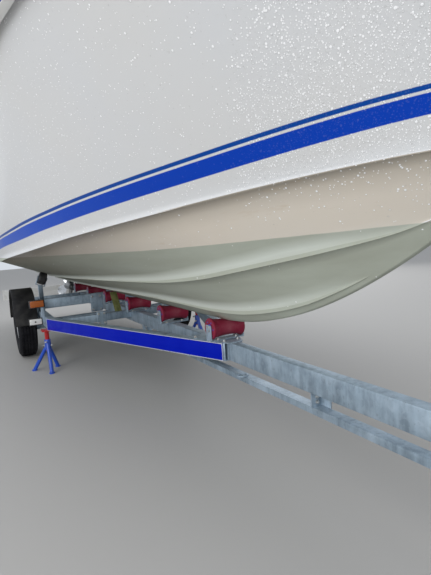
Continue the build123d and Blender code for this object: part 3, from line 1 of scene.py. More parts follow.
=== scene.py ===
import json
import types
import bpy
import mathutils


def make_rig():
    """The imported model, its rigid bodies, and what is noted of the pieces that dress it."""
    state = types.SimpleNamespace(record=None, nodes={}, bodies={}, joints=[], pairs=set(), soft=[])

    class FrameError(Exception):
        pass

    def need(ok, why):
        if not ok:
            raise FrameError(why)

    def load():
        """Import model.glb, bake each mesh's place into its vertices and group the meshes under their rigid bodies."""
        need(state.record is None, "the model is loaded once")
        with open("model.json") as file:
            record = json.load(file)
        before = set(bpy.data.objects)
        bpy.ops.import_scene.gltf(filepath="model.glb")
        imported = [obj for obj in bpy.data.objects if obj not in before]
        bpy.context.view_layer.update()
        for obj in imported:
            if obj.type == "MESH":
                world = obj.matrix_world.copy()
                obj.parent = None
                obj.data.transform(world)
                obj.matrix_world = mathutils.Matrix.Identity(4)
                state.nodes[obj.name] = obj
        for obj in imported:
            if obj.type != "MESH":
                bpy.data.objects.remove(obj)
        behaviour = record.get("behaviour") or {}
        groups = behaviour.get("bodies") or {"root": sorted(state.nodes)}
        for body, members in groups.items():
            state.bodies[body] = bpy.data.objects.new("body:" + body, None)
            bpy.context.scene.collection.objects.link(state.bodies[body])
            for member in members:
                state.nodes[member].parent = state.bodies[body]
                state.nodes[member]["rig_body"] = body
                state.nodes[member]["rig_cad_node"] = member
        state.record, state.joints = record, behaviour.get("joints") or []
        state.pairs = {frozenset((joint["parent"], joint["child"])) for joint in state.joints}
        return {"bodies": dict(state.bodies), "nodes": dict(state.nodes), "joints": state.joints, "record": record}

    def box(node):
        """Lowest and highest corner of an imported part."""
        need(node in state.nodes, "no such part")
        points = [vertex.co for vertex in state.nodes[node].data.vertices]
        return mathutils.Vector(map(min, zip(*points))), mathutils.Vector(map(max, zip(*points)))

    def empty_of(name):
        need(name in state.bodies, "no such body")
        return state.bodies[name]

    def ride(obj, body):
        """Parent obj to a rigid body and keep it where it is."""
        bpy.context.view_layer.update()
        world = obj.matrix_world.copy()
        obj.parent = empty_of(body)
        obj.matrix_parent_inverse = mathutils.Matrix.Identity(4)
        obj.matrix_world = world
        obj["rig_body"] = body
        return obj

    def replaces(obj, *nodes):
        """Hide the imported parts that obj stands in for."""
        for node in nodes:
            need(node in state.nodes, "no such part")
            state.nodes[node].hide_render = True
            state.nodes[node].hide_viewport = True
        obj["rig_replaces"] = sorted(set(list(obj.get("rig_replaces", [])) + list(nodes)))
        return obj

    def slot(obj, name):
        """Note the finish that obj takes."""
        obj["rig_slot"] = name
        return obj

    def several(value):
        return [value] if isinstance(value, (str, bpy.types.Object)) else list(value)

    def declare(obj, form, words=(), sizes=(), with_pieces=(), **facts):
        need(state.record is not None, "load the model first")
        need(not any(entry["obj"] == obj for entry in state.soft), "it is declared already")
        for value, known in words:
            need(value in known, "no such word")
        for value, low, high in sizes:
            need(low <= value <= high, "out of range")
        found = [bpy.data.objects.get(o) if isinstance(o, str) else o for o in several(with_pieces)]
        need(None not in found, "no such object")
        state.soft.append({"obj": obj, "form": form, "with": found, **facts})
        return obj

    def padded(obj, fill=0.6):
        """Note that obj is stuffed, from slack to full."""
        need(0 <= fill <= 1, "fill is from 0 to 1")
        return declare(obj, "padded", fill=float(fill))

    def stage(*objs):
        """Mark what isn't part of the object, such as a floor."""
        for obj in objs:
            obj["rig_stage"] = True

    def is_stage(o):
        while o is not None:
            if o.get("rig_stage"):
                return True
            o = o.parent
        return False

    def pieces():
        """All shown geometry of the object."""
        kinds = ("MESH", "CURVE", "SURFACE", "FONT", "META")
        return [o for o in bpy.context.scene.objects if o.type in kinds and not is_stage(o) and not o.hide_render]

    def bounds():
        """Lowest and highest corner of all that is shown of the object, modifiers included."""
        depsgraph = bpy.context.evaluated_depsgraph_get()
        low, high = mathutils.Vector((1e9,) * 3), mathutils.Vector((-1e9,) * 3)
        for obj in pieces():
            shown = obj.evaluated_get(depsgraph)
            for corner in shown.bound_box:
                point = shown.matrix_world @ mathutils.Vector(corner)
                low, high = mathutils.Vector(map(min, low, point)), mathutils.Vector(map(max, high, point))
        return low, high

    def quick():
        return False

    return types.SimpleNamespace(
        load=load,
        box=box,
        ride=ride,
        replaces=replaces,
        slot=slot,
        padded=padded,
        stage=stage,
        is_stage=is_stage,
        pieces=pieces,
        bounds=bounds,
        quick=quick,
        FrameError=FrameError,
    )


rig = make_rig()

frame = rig.load()
cad_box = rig.bounds()

import json
import math

import bpy
from mathutils import Matrix, Vector

# The photographer stood close off the starboard bow, a little above the chine, and looked aft along the hull.
# The lens is a phone's wide one. Its tilt and roll are worked into the three axes below.
EYE = Vector((3.119, -1.187, 1.029))
LOOK = Vector((-0.873, 0.476, -0.109)).normalized()
UPWARD = Vector((-0.062, 0.114, 0.992))
LENS = 27.05

right = LOOK.cross(UPWARD).normalized()
lens = bpy.data.cameras.new("photographer")
lens.lens = LENS
lens.sensor_width = 36
lens.clip_start = 0.02
camera = bpy.data.objects.new("photographer", lens)
bpy.context.scene.collection.objects.link(camera)
turn = Matrix((right, right.cross(LOOK), -LOOK)).transposed().to_4x4()
camera.matrix_world = Matrix.Translation(EYE) @ turn
bpy.context.scene.camera = camera

# A plain pale floor and a soft overcast studio: one large sheet of light over the boat and a weaker one on
# each side, so that the gelcoat shows a broad sheen as under a cloudy sky.
FLOOR_SIZE = 60
FLOOR_GREY = (0.37, 0.36, 0.345, 1)
SKY_GREY = (0.84, 0.89, 0.96, 1)
SKY_LIGHT = 0.8
LAMPS = [
    # place, size, watts
    ((2.0, -1.0, 7.5), 9.0, 330),
    ((5.0, -7.5, 3.2), 6.0, 420),
    ((-6.0, 6.0, 4.5), 6.0, 240),
]

bpy.ops.object.select_all(action="DESELECT")
bpy.ops.mesh.primitive_plane_add(size=FLOOR_SIZE)
floor = bpy.context.object
floor.name = "floor"
floor_paint = bpy.data.materials.new("floor_paint")
floor_paint.use_nodes = True
floor_paint.node_tree.nodes["Principled BSDF"].inputs["Base Color"].default_value = FLOOR_GREY
floor_paint.node_tree.nodes["Principled BSDF"].inputs["Roughness"].default_value = 0.8
floor.data.materials.append(floor_paint)
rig.stage(floor)

bpy.context.scene.view_settings.view_transform = "Standard"
world = bpy.data.worlds.new("overcast")
world.use_nodes = True
world.node_tree.nodes["Background"].inputs["Color"].default_value = SKY_GREY
world.node_tree.nodes["Background"].inputs["Strength"].default_value = SKY_LIGHT
bpy.context.scene.world = world
for place, size, watts in LAMPS:
    lamp = bpy.data.lights.new("softbox", "AREA")
    lamp.size, lamp.energy = size, watts
    holder = bpy.data.objects.new("softbox", lamp)
    holder.location = place
    holder.rotation_euler = (Vector((0, 0, 0.6)) - Vector(place)).to_track_quat("-Z", "Y").to_euler()
    bpy.context.scene.collection.objects.link(holder)


# The hull is one glass-fibre moulding with white gelcoat from the mould, two blue stripes taped and sprayed
# along the topsides, and old brushed grey-green bottom paint below a beige band.
class Wire:
    """A socket of a finish. Plain sums on it add Math nodes."""

    def __init__(self, finish, socket):
        self.finish, self.socket = finish, socket

    def sum(self, operation, *values):
        return self.finish.node("ShaderNodeMath", {"operation": operation}, dict(enumerate(values)))

    def __add__(self, other):
        return self.sum("ADD", self, other)

    def __sub__(self, other):
        return self.sum("SUBTRACT", self, other)

    def __rsub__(self, other):
        return self.sum("SUBTRACT", other, self)

    def __mul__(self, other):
        return self.sum("MULTIPLY", self, other)

    def __truediv__(self, other):
        return self.sum("DIVIDE", self, other)

    def __pow__(self, other):
        return self.sum("POWER", self, other)

    def __gt__(self, other):
        return self.sum("GREATER_THAN", self, other)

    def __lt__(self, other):
        return self.sum("LESS_THAN", self, other)

    def __abs__(self):
        return self.sum("ABSOLUTE", self)

    __radd__, __rmul__ = __add__, __mul__

    def least(self, other):
        return self.sum("MAXIMUM", self, other)

    def clipped(self):
        return self.sum("MINIMUM", self.sum("MAXIMUM", self, 0.0), 1.0)

    def ramp(self, low, high):
        """0 below low, 1 above high and an even rise between."""
        return ((self - low) / (high - low)).clipped()


class Finish:
    """A material and the nodes that vary it over a surface."""

    def __init__(self, name, colour, roughness, metallic=0.0, **fixed):
        self.material = bpy.data.materials.new(name)
        self.material.use_nodes = True
        self.tree = self.material.node_tree
        self.shader = self.tree.nodes["Principled BSDF"]
        self.shader.inputs["Base Color"].default_value = (*colour, 1)
        self.shader.inputs["Roughness"].default_value = roughness
        self.shader.inputs["Metallic"].default_value = metallic
        for socket, value in fixed.items():
            self.shader.inputs[socket.replace("_", " ")].default_value = value
        place = self.node("ShaderNodeTexCoord")
        self.place = Wire(self, place.socket.node.outputs["Object"])
        self.facing = Wire(self, place.socket.node.outputs["Normal"])

    def node(self, kind, settings={}, values={}, out=0):
        made = self.tree.nodes.new(kind)
        for key, value in settings.items():
            setattr(made, key, value)
        for key, value in values.items():
            if isinstance(value, Wire):
                self.tree.links.new(value.socket, made.inputs[key])
            else:
                made.inputs[key].default_value = value
        return Wire(self, made.outputs[out])

    def parts(self, vector):
        """The X, Y and Z of a vector."""
        split = self.node("ShaderNodeSeparateXYZ", {}, {0: vector})
        return [Wire(self, split.socket.node.outputs[i]) for i in range(3)]

    def noise(self, scale, stretch=(1, 1, 1), detail=3.0, rough=0.5):
        """Soft random mottling, 0 to 1 about 0.5, in features of about 1 / scale metres."""
        where = self.node("ShaderNodeMapping", {}, {"Vector": self.place, "Scale": stretch})
        return self.node("ShaderNodeTexNoise", {}, {"Vector": where, "Scale": scale, "Detail": detail,
                                                    "Roughness": rough})

    def cells(self, scale, out="Distance", chaos=1.0):
        """Cells of about 1 / scale metres: the distance from each one's middle, or a colour of its own."""
        return self.node("ShaderNodeTexVoronoi", {}, {"Vector": self.place, "Scale": scale, "Randomness": chaos}, out)

    def mix(self, share, first, second):
        """A colour between two, as share goes from 0 to 1."""
        first, second = ((*c, 1) if isinstance(c, tuple) else c for c in (first, second))
        return self.node("ShaderNodeMix", {"data_type": "RGBA"}, {0: share, 6: first, 7: second}, 2)

    def curve(self, value, span, heights, points):
        """A height read from a smooth line through points of (along, height)."""
        low, high = span
        bottom, top = heights
        node = self.node("ShaderNodeFloatCurve", {}, {"Value": (value - low) / (high - low)}).socket.node
        line = node.mapping.curves[0]
        scaled = [((x - low) / (high - low), (z - bottom) / (top - bottom)) for x, z in points]
        line.points[0].location, line.points[1].location = scaled[0], scaled[-1]
        for point in scaled[1:-1]:
            line.points.new(*point)
        node.mapping.update()
        return Wire(self, node.outputs[0]) * (top - bottom) + bottom

    def set(self, **wires):
        for socket, wire in wires.items():
            self.tree.links.new(wire.socket, self.shader.inputs[socket.replace("_", " ")])

    def bump(self, height, depth, strength=1.0):
        """Fine relief, where height 0 to 1 stands depth metres proud."""
        self.set(Normal=self.node("ShaderNodeBump", {}, {"Height": height, "Distance": depth,
                                                         "Strength": strength}))

    def grain(self, scale, depth, strength=0.5, **look):
        self.bump(self.noise(scale, **look), depth, strength)

    def soil(self, share, clean, dirty, scale, ramp, gloss, sheen=None, **look):
        """Patches of dirt or wear. gloss is the roughness and what they, or a noise of its own, add to it."""
        patch = self.noise(scale, **look).ramp(*ramp)
        shine = self.noise(sheen) if sheen else patch
        self.set(Base_Color=self.mix(patch * share, clean, dirty), Roughness=gloss[0] + shine * gloss[1])


def coat(piece, finish):
    """Give every slot of a piece one finish."""
    if not piece.material_slots:
        piece.data.materials.append(finish.material)
    for place in piece.material_slots:
        place.material = finish.material


def only(piece):
    """Select one piece alone."""
    bpy.ops.object.select_all(action="DESELECT")
    piece.select_set(True)
    bpy.context.view_layer.objects.active = piece


def body_of(node):
    """The moving body that a made piece belongs to."""
    return frame["nodes"][node]["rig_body"]


def added(name, mesh):
    """A new piece in the scene, selected alone."""
    piece = bpy.data.objects.new(name, mesh)
    bpy.context.scene.collection.objects.link(piece)
    only(piece)
    return piece


def edited(change, **options):
    """Run one mesh operator on all of the selected piece."""
    bpy.ops.object.mode_set(mode="EDIT")
    bpy.ops.mesh.select_all(action="SELECT")
    change(**options)
    bpy.ops.object.mode_set(mode="OBJECT")


def smoothed(piece, bevel, angle, segments):
    """Round a piece's corners and make its curves smooth."""
    if bevel:
        rounding = piece.modifiers.new("eased", "BEVEL")
        rounding.width, rounding.segments = bevel, segments
        rounding.limit_method, rounding.angle_limit = "ANGLE", math.radians(angle)
        bpy.ops.object.modifier_apply(modifier="eased")
    bpy.ops.object.shade_smooth_by_angle(angle=math.radians(angle))


def eased(node, finish, slot, bevel=0.0, angle=35, segments=2):
    """A copy of a made piece with its corners rounded and its curves smooth, which stands for it."""
    piece = added(node + "_finished", frame["nodes"][node].data.copy())
    bpy.ops.object.mode_set(mode="EDIT")
    bpy.ops.mesh.select_all(action="SELECT")
    bpy.ops.mesh.remove_doubles(threshold=0.00002)
    if bevel:
        bpy.ops.mesh.dissolve_limited(angle_limit=math.radians(1))
    bpy.ops.object.mode_set(mode="OBJECT")
    smoothed(piece, bevel, angle, segments)
    coat(piece, finish)
    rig.ride(piece, body_of(node))
    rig.replaces(piece, node)
    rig.slot(piece, slot)
    return piece


V_AT = 1.1                       # the drawbar's junction with the side beams, from the middle of the length
STRIPE_SPAN, STRIPE_HEIGHTS = (-3.25, 3.35), (0.9, 1.5)
STRIPE_LINE = [                  # lower edge of the broad stripe: along, height
    (-3.25, 1.035), (-1.6, 1.066), (-0.8, 1.090), (0.0, 1.119), (0.6, 1.154), (1.1, 1.187), (1.5, 1.214),
    (1.8, 1.235), (2.1, 1.258), (2.45, 1.2825), (3.35, 1.345),
]
BROAD, GAP, NARROW = 0.0595, 0.0085, 0.0145
STRIPE_TAPER = 0.66              # the stripes' width at the stem, as a share of that aft
STRIPE_SOFT = 0.0012             # half the blur of a stripe's edge
# The third colour is a painted highlight along the rounded chine lip.
GELCOAT, CLEAN_PATCH, LIP_HIGHLIGHT = (0.68, 0.68, 0.675), (0.66, 0.68, 0.71), (0.86, 0.88, 0.90)
BEIGE, BEIGE_PALE = (0.70, 0.63, 0.535), (0.70, 0.65, 0.575)
OLD_PAINT, PAINT_PALE = (0.375, 0.392, 0.327), (0.44, 0.47, 0.40)
SCUFF, RUBBED = (0.27, 0.29, 0.24), (0.52, 0.30, 0.27)
STRIPE_BLUE, STRIPE_AFT, THIN_BLUE = (0.0, 0.048, 0.45), (0.0, 0.085, 0.56), (0.0, 0.06, 0.33)
# Colours of painted shade under the chine and towards the stern, and of a real brown stain; then the painted highlight
# on the strakes' flares and the painted shade under their edges.
AFT_SHADE, CHINE_SHADE, STAIN = (0.13, 0.12, 0.09), (0.27, 0.235, 0.185), (0.50, 0.37, 0.22)
FLARE_HIGHLIGHT, CREASE_SHADE = (0.80, 0.85, 0.80), (0.24, 0.24, 0.19)
BEADS = ((185.0, 0.46), (120.0, 0.44), (78.0, 0.38))   # cells to the metre, a bead's greatest reach in its cell
# A bead's rim of painted shade and its painted highlight.
BEAD_RIM_SHADE, BEAD_GLINT = (0.36, 0.36, 0.35), (0.99, 0.99, 1.0)
PAINT_LINE, PAINT_RISE, FOREFOOT = 1.002, 0.038, 1.298
STERN = -3.19
ROLLER_RUB = 1.02                # where the first roller has left its colour on the keel

# The skin of the moulding is laid out again in close rows and stations on the same lines as the solid hull, so
# that the topsides, chine lip and spray strakes are fair. The inside, transom and top stay those of the solid.
TRANSOM, NOSE, STEM = -4.3 + V_AT, 2.14 + V_AT, 2.167 + V_AT
KEEL_LOW, STEM_HIGH, FOREFOOT_AT, KEEL_POWER = 0.588, 1.844, -0.1 + V_AT, 2.113
BEAM_HALF, BEAM_AT, BEAM_POWER = 1.13, -1.2 + V_AT, 3.6
CHINE_END = 1.535 + V_AT
CHINE = [                        # along, half-breadth, height
    (-3.2, 0.965, 0.950), (-1.8, 0.980, 0.961), (-0.7, 0.960, 1.003), (0.2, 0.867, 1.049), (0.8, 0.754, 1.094),
    (1.3, 0.624, 1.130), (1.7, 0.496, 1.160), (2.05, 0.366, 1.186), (2.35, 0.240, 1.203), (2.5, 0.148, 1.210),
    (2.58, 0.084, 1.213), (2.635, 0.030, 1.216),
]
STRAKES = [                      # along, half-breadth of the sharp edge: lower strake, then the upper one
    [(-3.2, 0.248), (-1.8, 0.250), (-0.7, 0.246), (0.2, 0.222), (0.8, 0.168), (1.3, 0.113), (1.7, 0.068),
     (1.95, 0.044), (2.1, 0.030)],
    [(-3.2, 0.488), (-1.8, 0.495), (-0.7, 0.488), (0.2, 0.440), (0.8, 0.374), (1.3, 0.320), (1.7, 0.252),
     (2.05, 0.160), (2.27, 0.084), (2.39, 0.046)],
]
STRAKE_WIDTH, STRAKE_FLARE, STRAKE_TIP, STRAKE_FULL = 0.035, 0.040, 0.35, 1.4
LIP_TALL, LIP_INSET, LIP_HOLLOW, CHINE_FLAT = 0.048, 0.009, 0.0035, 0.045
STATION_STEP = 0.045
SIDE_ROWS = 18

gelcoat = Finish("hull_gelcoat", GELCOAT, 0.3, Coat_Weight=0.15, Coat_Roughness=0.12, Specular_IOR_Level=0.15)
x, y, z = gelcoat.parts(gelcoat.place)
out_x, out_y, out_z = gelcoat.parts(gelcoat.facing)
outside = (out_y * gelcoat.node("ShaderNodeMath", {"operation": "SIGN"}, {0: y})) > 0.02
low_edge = gelcoat.curve(x, STRIPE_SPAN, STRIPE_HEIGHTS, STRIPE_LINE)
over = (z - low_edge) / (1 - (1 - STRIPE_TAPER) * x.ramp(0.2, 2.6))


def stripe(low, high):
    """1 between two heights over the stripes' lower edge."""
    return over.ramp(low - STRIPE_SOFT, low + STRIPE_SOFT) * (1 - over.ramp(high - STRIPE_SOFT, high + STRIPE_SOFT))


broad, narrow = stripe(0, BROAD), stripe(BROAD + GAP, BROAD + GAP + NARROW)
paint_edge = PAINT_LINE + PAINT_RISE * ((x - V_AT).least(0.0) / FOREFOOT) ** 1.5
wander = (gelcoat.noise(9.0) - 0.5) * 0.004
painted = (1 - (z - paint_edge + wander).ramp(-0.0015, 0.0015)) * ((out_z < 0.3) + (x < STERN)).clipped()
chine_line = gelcoat.curve(x, (-3.25, 2.7), (0.94, 1.23),
                           [(-3.25, CHINE[0][2])] + [(row[0], row[2]) for row in CHINE] + [(2.7, CHINE[-1][2])])
under_chine = (out_z < -0.25) * (z < chine_line + 0.0025) * outside
mottle = gelcoat.noise(2.2, detail=5.0)
clean = gelcoat.mix(mottle.ramp(0.35, 0.7) * 0.4, GELCOAT, CLEAN_PATCH)
# Painted highlight: a pale band along the rounded lip just above the chine, forward, mixed into the topside colour.
lip = (1 - (z - chine_line).ramp(0.006, 0.045)) * x.ramp(0.9, 2.2)
clean = gelcoat.mix(lip * 0.6, clean, LIP_HIGHLIGHT)
beige = gelcoat.mix(gelcoat.noise(3.5, (0.4, 1, 1), 5.0).ramp(0.3, 0.75), BEIGE, BEIGE_PALE)
worn = gelcoat.mix(gelcoat.noise(5.0, (0.3, 1, 2.5), 6.0, 0.6).ramp(0.3, 0.72), OLD_PAINT, PAINT_PALE)
scuffs = gelcoat.noise(26.0, (0.25, 1, 3.5), 8.0, 0.7).ramp(0.66, 0.74)
worn = gelcoat.mix(scuffs * 0.35, worn, SCUFF)
rub = (1 - (abs(x - ROLLER_RUB) / 0.16).clipped()) * (1 - (z - 0.60).ramp(0.0, 0.06))
worn = gelcoat.mix(rub * gelcoat.noise(18.0).ramp(0.4, 0.7) * 0.5, worn, RUBBED)
shell = gelcoat.mix(under_chine, clean, beige)
shell = gelcoat.mix(broad * outside, shell, gelcoat.mix(x.ramp(-0.5, 1.6), STRIPE_AFT, STRIPE_BLUE))
shell = gelcoat.mix(narrow * outside, shell, THIN_BLUE)
shell = gelcoat.mix(painted, shell, worn)
# Painted shade: the band under the chine darkens towards the stern.
shell = gelcoat.mix((1 - x.ramp(-0.6, 1.6)) * under_chine * 0.7, shell, AFT_SHADE)
# Painted shade darkens the band just under the chine's sharp edge and a line just under each strake's edge, and a
# painted highlight makes the flare over each strake pale.
shade_under_chine = (1 - (chine_line - z).ramp(0.0, 0.085)) ** 1.5 * under_chine
shell = gelcoat.mix(shade_under_chine * 0.62, shell, CHINE_SHADE)
for table in STRAKES:
    edge_line = gelcoat.curve(x, (-3.25, 2.7), (0.0, 0.5), [(-3.25, table[0][1])] + table + [(2.7, 0.0)])
    off_edge = abs(y) - edge_line
    here = under_chine * (1 - x.ramp(table[-1][0] - 0.45, table[-1][0] - 0.02))
    # Painted highlight on the flare just over the strake's edge.
    lit_flare = (1 - (off_edge / STRAKE_FLARE).clipped()) * (off_edge > 0) * here
    shell = gelcoat.mix(lit_flare * 0.55, shell, FLARE_HIGHLIGHT)
    # Painted shade in a thin line just under the strake's edge.
    strake_shade_line = (1 - (abs(off_edge + 0.004) / 0.012).clipped()) * here
    shell = gelcoat.mix(strake_shade_line * 0.5, shell, CREASE_SHADE)
brown = gelcoat.noise(7.0, (0.3, 1, 3.0), 7.0, 0.7).ramp(0.6, 0.72) * under_chine * (1 - painted)
shell = gelcoat.mix(brown * 0.35, shell, STAIN)
# Rain stands on the topsides in small beads, thickest forward and above the stripes. Each is painted with a bright
# highlight for its glint in a darker rim of painted shade.
fine = gelcoat.noise(60.0, (0.2, 1, 1), 4.0) * painted * 0.3
wet = (x - (z - 1.3) * 0.9).ramp(1.96, 2.2) * z.ramp(1.05, 1.25)
striped = broad + narrow
crowd = (0.05 + 0.9 * wet) * (1 - painted * 0.9) * (1 - under_chine * 0.85)
for size, reach in BEADS:
    gap = gelcoat.cells(size)
    lot = gelcoat.parts(gelcoat.cells(size, out="Color"))[0]
    there = (lot > 1 - crowd) * outside
    bead = (1 - gap / (reach * (0.4 + lot * 0.6))).clipped()
    fine = fine + bead ** 0.5 * there * (1 - striped * 0.8) * (BEADS[1][0] / size)
    # Painted shade in each bead's rim and a painted highlight in its core.
    rim = bead.ramp(0.0, 0.12) * (1 - bead.ramp(0.12, 0.4)) * there
    shell = gelcoat.mix(rim * 0.34 * (1 - striped), shell, BEAD_RIM_SHADE)
    core = bead.ramp(0.2, 0.42) * there
    shell = gelcoat.mix(core * (1 - striped * 0.97), shell, BEAD_GLINT)
gelcoat.set(Base_Color=shell, Roughness=0.26 + painted * 0.32 + under_chine * 0.12 + mottle * 0.08,
            Coat_Weight=0.15 * (1 - painted) * (1 - striped * 0.9))
gelcoat.bump(fine, 0.0009, 0.5)


def read_off(table, along, column):
    """A value on the fair curve through a table's rows."""
    i = max(n for n, row in enumerate(table[:-1]) if row[0] <= along + 1e-9)
    low, high = table[i], table[i + 1]
    step = high[0] - low[0]
    slopes = []
    for k in (i, i + 1):
        before, after = table[max(k - 1, 0)], table[min(k + 1, len(table) - 1)]
        slopes.append((after[column] - before[column]) / (after[0] - before[0]) * step)
    t = (along - low[0]) / step
    return ((2 * t ** 3 - 3 * t ** 2 + 1) * low[column] + (t ** 3 - 2 * t ** 2 + t) * slopes[0]
            + (3 * t ** 2 - 2 * t ** 3) * high[column] + (t ** 3 - t ** 2) * slopes[1])


def keel_height(along):
    reach = max(along - FOREFOOT_AT, 0) / (STEM - FOREFOOT_AT)
    return KEEL_LOW + (STEM_HIGH - KEEL_LOW) * reach ** KEEL_POWER


def chine_at(along):
    if along > CHINE_END:
        return 0.022, keel_height(along) + 0.01
    return read_off(CHINE, along, 1), read_off(CHINE, along, 2)


def sheer_at(along):
    reach = max(along - BEAM_AT, 0) / (STEM - BEAM_AT)
    return BEAM_HALF * (1 - reach ** BEAM_POWER), 1.79 + 0.025 * (along - V_AT)


def hull_outline(along):
    """One side of the hull at a station, from the keel to the sheer, as (half-breadth, height)."""
    half, top = chine_at(along)
    low = keel_height(along)
    pad = 0.018 - 0.008 * max(along - FOREFOOT_AT, 0) / (STEM - FOREFOOT_AT)
    share = half / CHINE[1][1]
    inner = half - (0.005 if along > CHINE_END else CHINE_FLAT * share)

    def panel(breadth):
        return low + (top - low) * (breadth - pad) / (inner - pad)

    rows, reached = [(0.0, low), (pad, low)], pad
    for table in STRAKES:
        tip = table[-1][0]
        edge = read_off(table, min(along, tip), 1) * (1 if along <= tip else inner / chine_at(tip)[0])
        size = 1 - (1 - STRAKE_TIP) * max(along - STRAKE_FULL, 0) / (tip - STRAKE_FULL)
        size = max(size, STRAKE_TIP) * min(max((tip - along) / 0.3, 0), 1) ** 0.6
        first, last = edge - STRAKE_WIDTH * size, edge + STRAKE_FLARE * size
        first, last = max(first, reached + 0.0001), min(last, inner)
        for k in range(1, 5):
            breadth = reached + (first - reached) * k / 4
            rows.append((breadth, panel(breadth)))
        foot, head = panel(first), panel(last)
        rows.append((min(edge, inner), foot))
        for t in (0.05, 0.14, 0.3, 0.6, 1.0):
            rows.append((min(edge, inner) + (last - min(edge, inner)) * t, foot + (head - foot) * t ** 0.5))
        reached = last
    for k in range(1, 7):
        breadth = reached + (inner - reached) * k / 6
        rows.append((breadth, panel(breadth)))
    sheer_half, sheer_top = sheer_at(along)
    up = Vector((sheer_half - half, sheer_top - top)).normalized()
    out = Vector((up.y, -up.x))
    lip = max(share, 0.12)
    edge, head = Vector((half, top)), Vector((half, top)) + up * LIP_TALL * lip - out * LIP_INSET * lip
    for k in range(6):
        t = k / 5
        rows.append(tuple(edge.lerp(head, t) - out * LIP_HOLLOW * lip * 4 * t * (1 - t)))
    bulge = -0.004 if along > CHINE_END else 0.026 - 0.046 * max(along - BEAM_AT, 0) / (STEM - BEAM_AT)
    sheer = Vector((sheer_half, sheer_top))
    for k in range(1, SIDE_ROWS + 1):
        t = k / SIDE_ROWS
        rows.append(tuple(head.lerp(sheer, t) + out * bulge * 4 * t * (1 - t)))
    return rows


def outside_face(middle, normal):
    """Whether a face of the solid hull is part of the skin that is laid out again."""
    if middle.x < TRANSOM + 0.001 or middle.x > NOSE - 0.001 or normal.z > 0.9:
        return False
    half, top = chine_at(middle.x)
    sheer_half, sheer_top = sheer_at(middle.x)
    breadth = abs(middle.y)
    if middle.z < top + 0.004 and normal.z < 0.05:
        low = keel_height(middle.x)
        return middle.z < low + (top - low) * breadth / half + 0.03
    side = half + (sheer_half - half) * (middle.z - top) / (sheer_top - top)
    return breadth > side - 0.04 and normal.y * middle.y > 0


stations = []
along = TRANSOM
while along < NOSE - 0.01:
    stations.append(along)
    along += STATION_STEP * (1 if along < 1.6 else 0.6)
stations.append(NOSE)
points, quads = [], []
for side in (1, -1):
    start = len(points)
    outlines = [hull_outline(along) for along in stations]
    rows = len(outlines[0])
    points += [(along, side * y, z) for along, outline in zip(stations, outlines) for y, z in outline]
    for i in range(len(stations) - 1):
        for k in range(rows - 1):
            a, b = start + i * rows + k, start + (i + 1) * rows + k
            quads.append((a, b, b + 1, a + 1) if side < 0 else (a, a + 1, b + 1, b))
skin_mesh = bpy.data.meshes.new("hull_skin")
skin_mesh.from_pydata(points, [], quads)
skin = added("hull_skin", skin_mesh)
hull = added("hull_finished", frame["nodes"]["hull"].data.copy())
bpy.ops.object.mode_set(mode="EDIT")
bpy.ops.mesh.select_mode(type="FACE")
bpy.ops.mesh.select_all(action="DESELECT")
bpy.ops.object.mode_set(mode="OBJECT")
for face in hull.data.polygons:
    face.select = outside_face(face.center, face.normal)
bpy.ops.object.mode_set(mode="EDIT")
bpy.ops.mesh.delete(type="FACE")
bpy.ops.object.mode_set(mode="OBJECT")
skin.select_set(True)
bpy.ops.object.join()
edited(bpy.ops.mesh.remove_doubles, threshold=0.0002)
bpy.ops.object.shade_smooth_by_angle(angle=math.radians(24))
coat(hull, gelcoat)
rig.ride(hull, body_of("hull"))
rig.replaces(hull, "hull")
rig.slot(hull, "hull_gelcoat")


def block(size, place, turn=(0, 0, 0)):
    """A box of a given size at a place, turned about its middle."""
    bpy.ops.object.select_all(action="DESELECT")
    bpy.ops.mesh.primitive_cube_add(size=1, location=place, rotation=turn)
    piece = bpy.context.object
    piece.scale = size
    return piece


def round_bar(start, end, radius, sides=24, tip=None):
    """A round bar between two places, or a taper to another radius."""
    start, end = Vector(start), Vector(end)
    bpy.ops.object.select_all(action="DESELECT")
    bpy.ops.mesh.primitive_cone_add(vertices=sides, radius1=radius, radius2=radius if tip is None else tip,
                                    depth=(end - start).length, location=(start + end) / 2)
    piece = bpy.context.object
    piece.rotation_euler = (end - start).to_track_quat("Z", "Y").to_euler()
    return piece


def disc(place, axis, low, high, radius, sides=24, tip=None):
    """A round bar on an axis through a place, from low to high along it."""
    return round_bar(place + axis * low, place + axis * high, radius, sides, tip)


def ring(place, axis, radius, thick, around=32, across=10):
    bpy.ops.object.select_all(action="DESELECT")
    bpy.ops.mesh.primitive_torus_add(location=place, major_radius=radius, minor_radius=thick,
                                     major_segments=around, minor_segments=across)
    piece = bpy.context.object
    piece.rotation_euler = Vector(axis).to_track_quat("Z", "Y").to_euler()
    return piece


def ball(place, radius, stretch=(1, 1, 1), around=20):
    bpy.ops.object.select_all(action="DESELECT")
    bpy.ops.mesh.primitive_uv_sphere_add(segments=around, ring_count=around // 2, radius=radius, location=place)
    piece = bpy.context.object
    piece.scale = stretch
    return piece


def tube(points, radius, closed=False):
    """A bent round bar or wire along points, as a mesh."""
    curve = bpy.data.curves.new("run", "CURVE")
    curve.dimensions = "3D"
    curve.bevel_depth, curve.bevel_resolution = radius, 4
    curve.use_fill_caps = True
    line = curve.splines.new("POLY")
    line.points.add(len(points) - 1)
    for point, place in zip(line.points, points):
        point.co = (*place, 1)
    line.use_cyclic_u = closed
    added("run", curve)
    bpy.ops.object.convert(target="MESH")
    return bpy.context.object


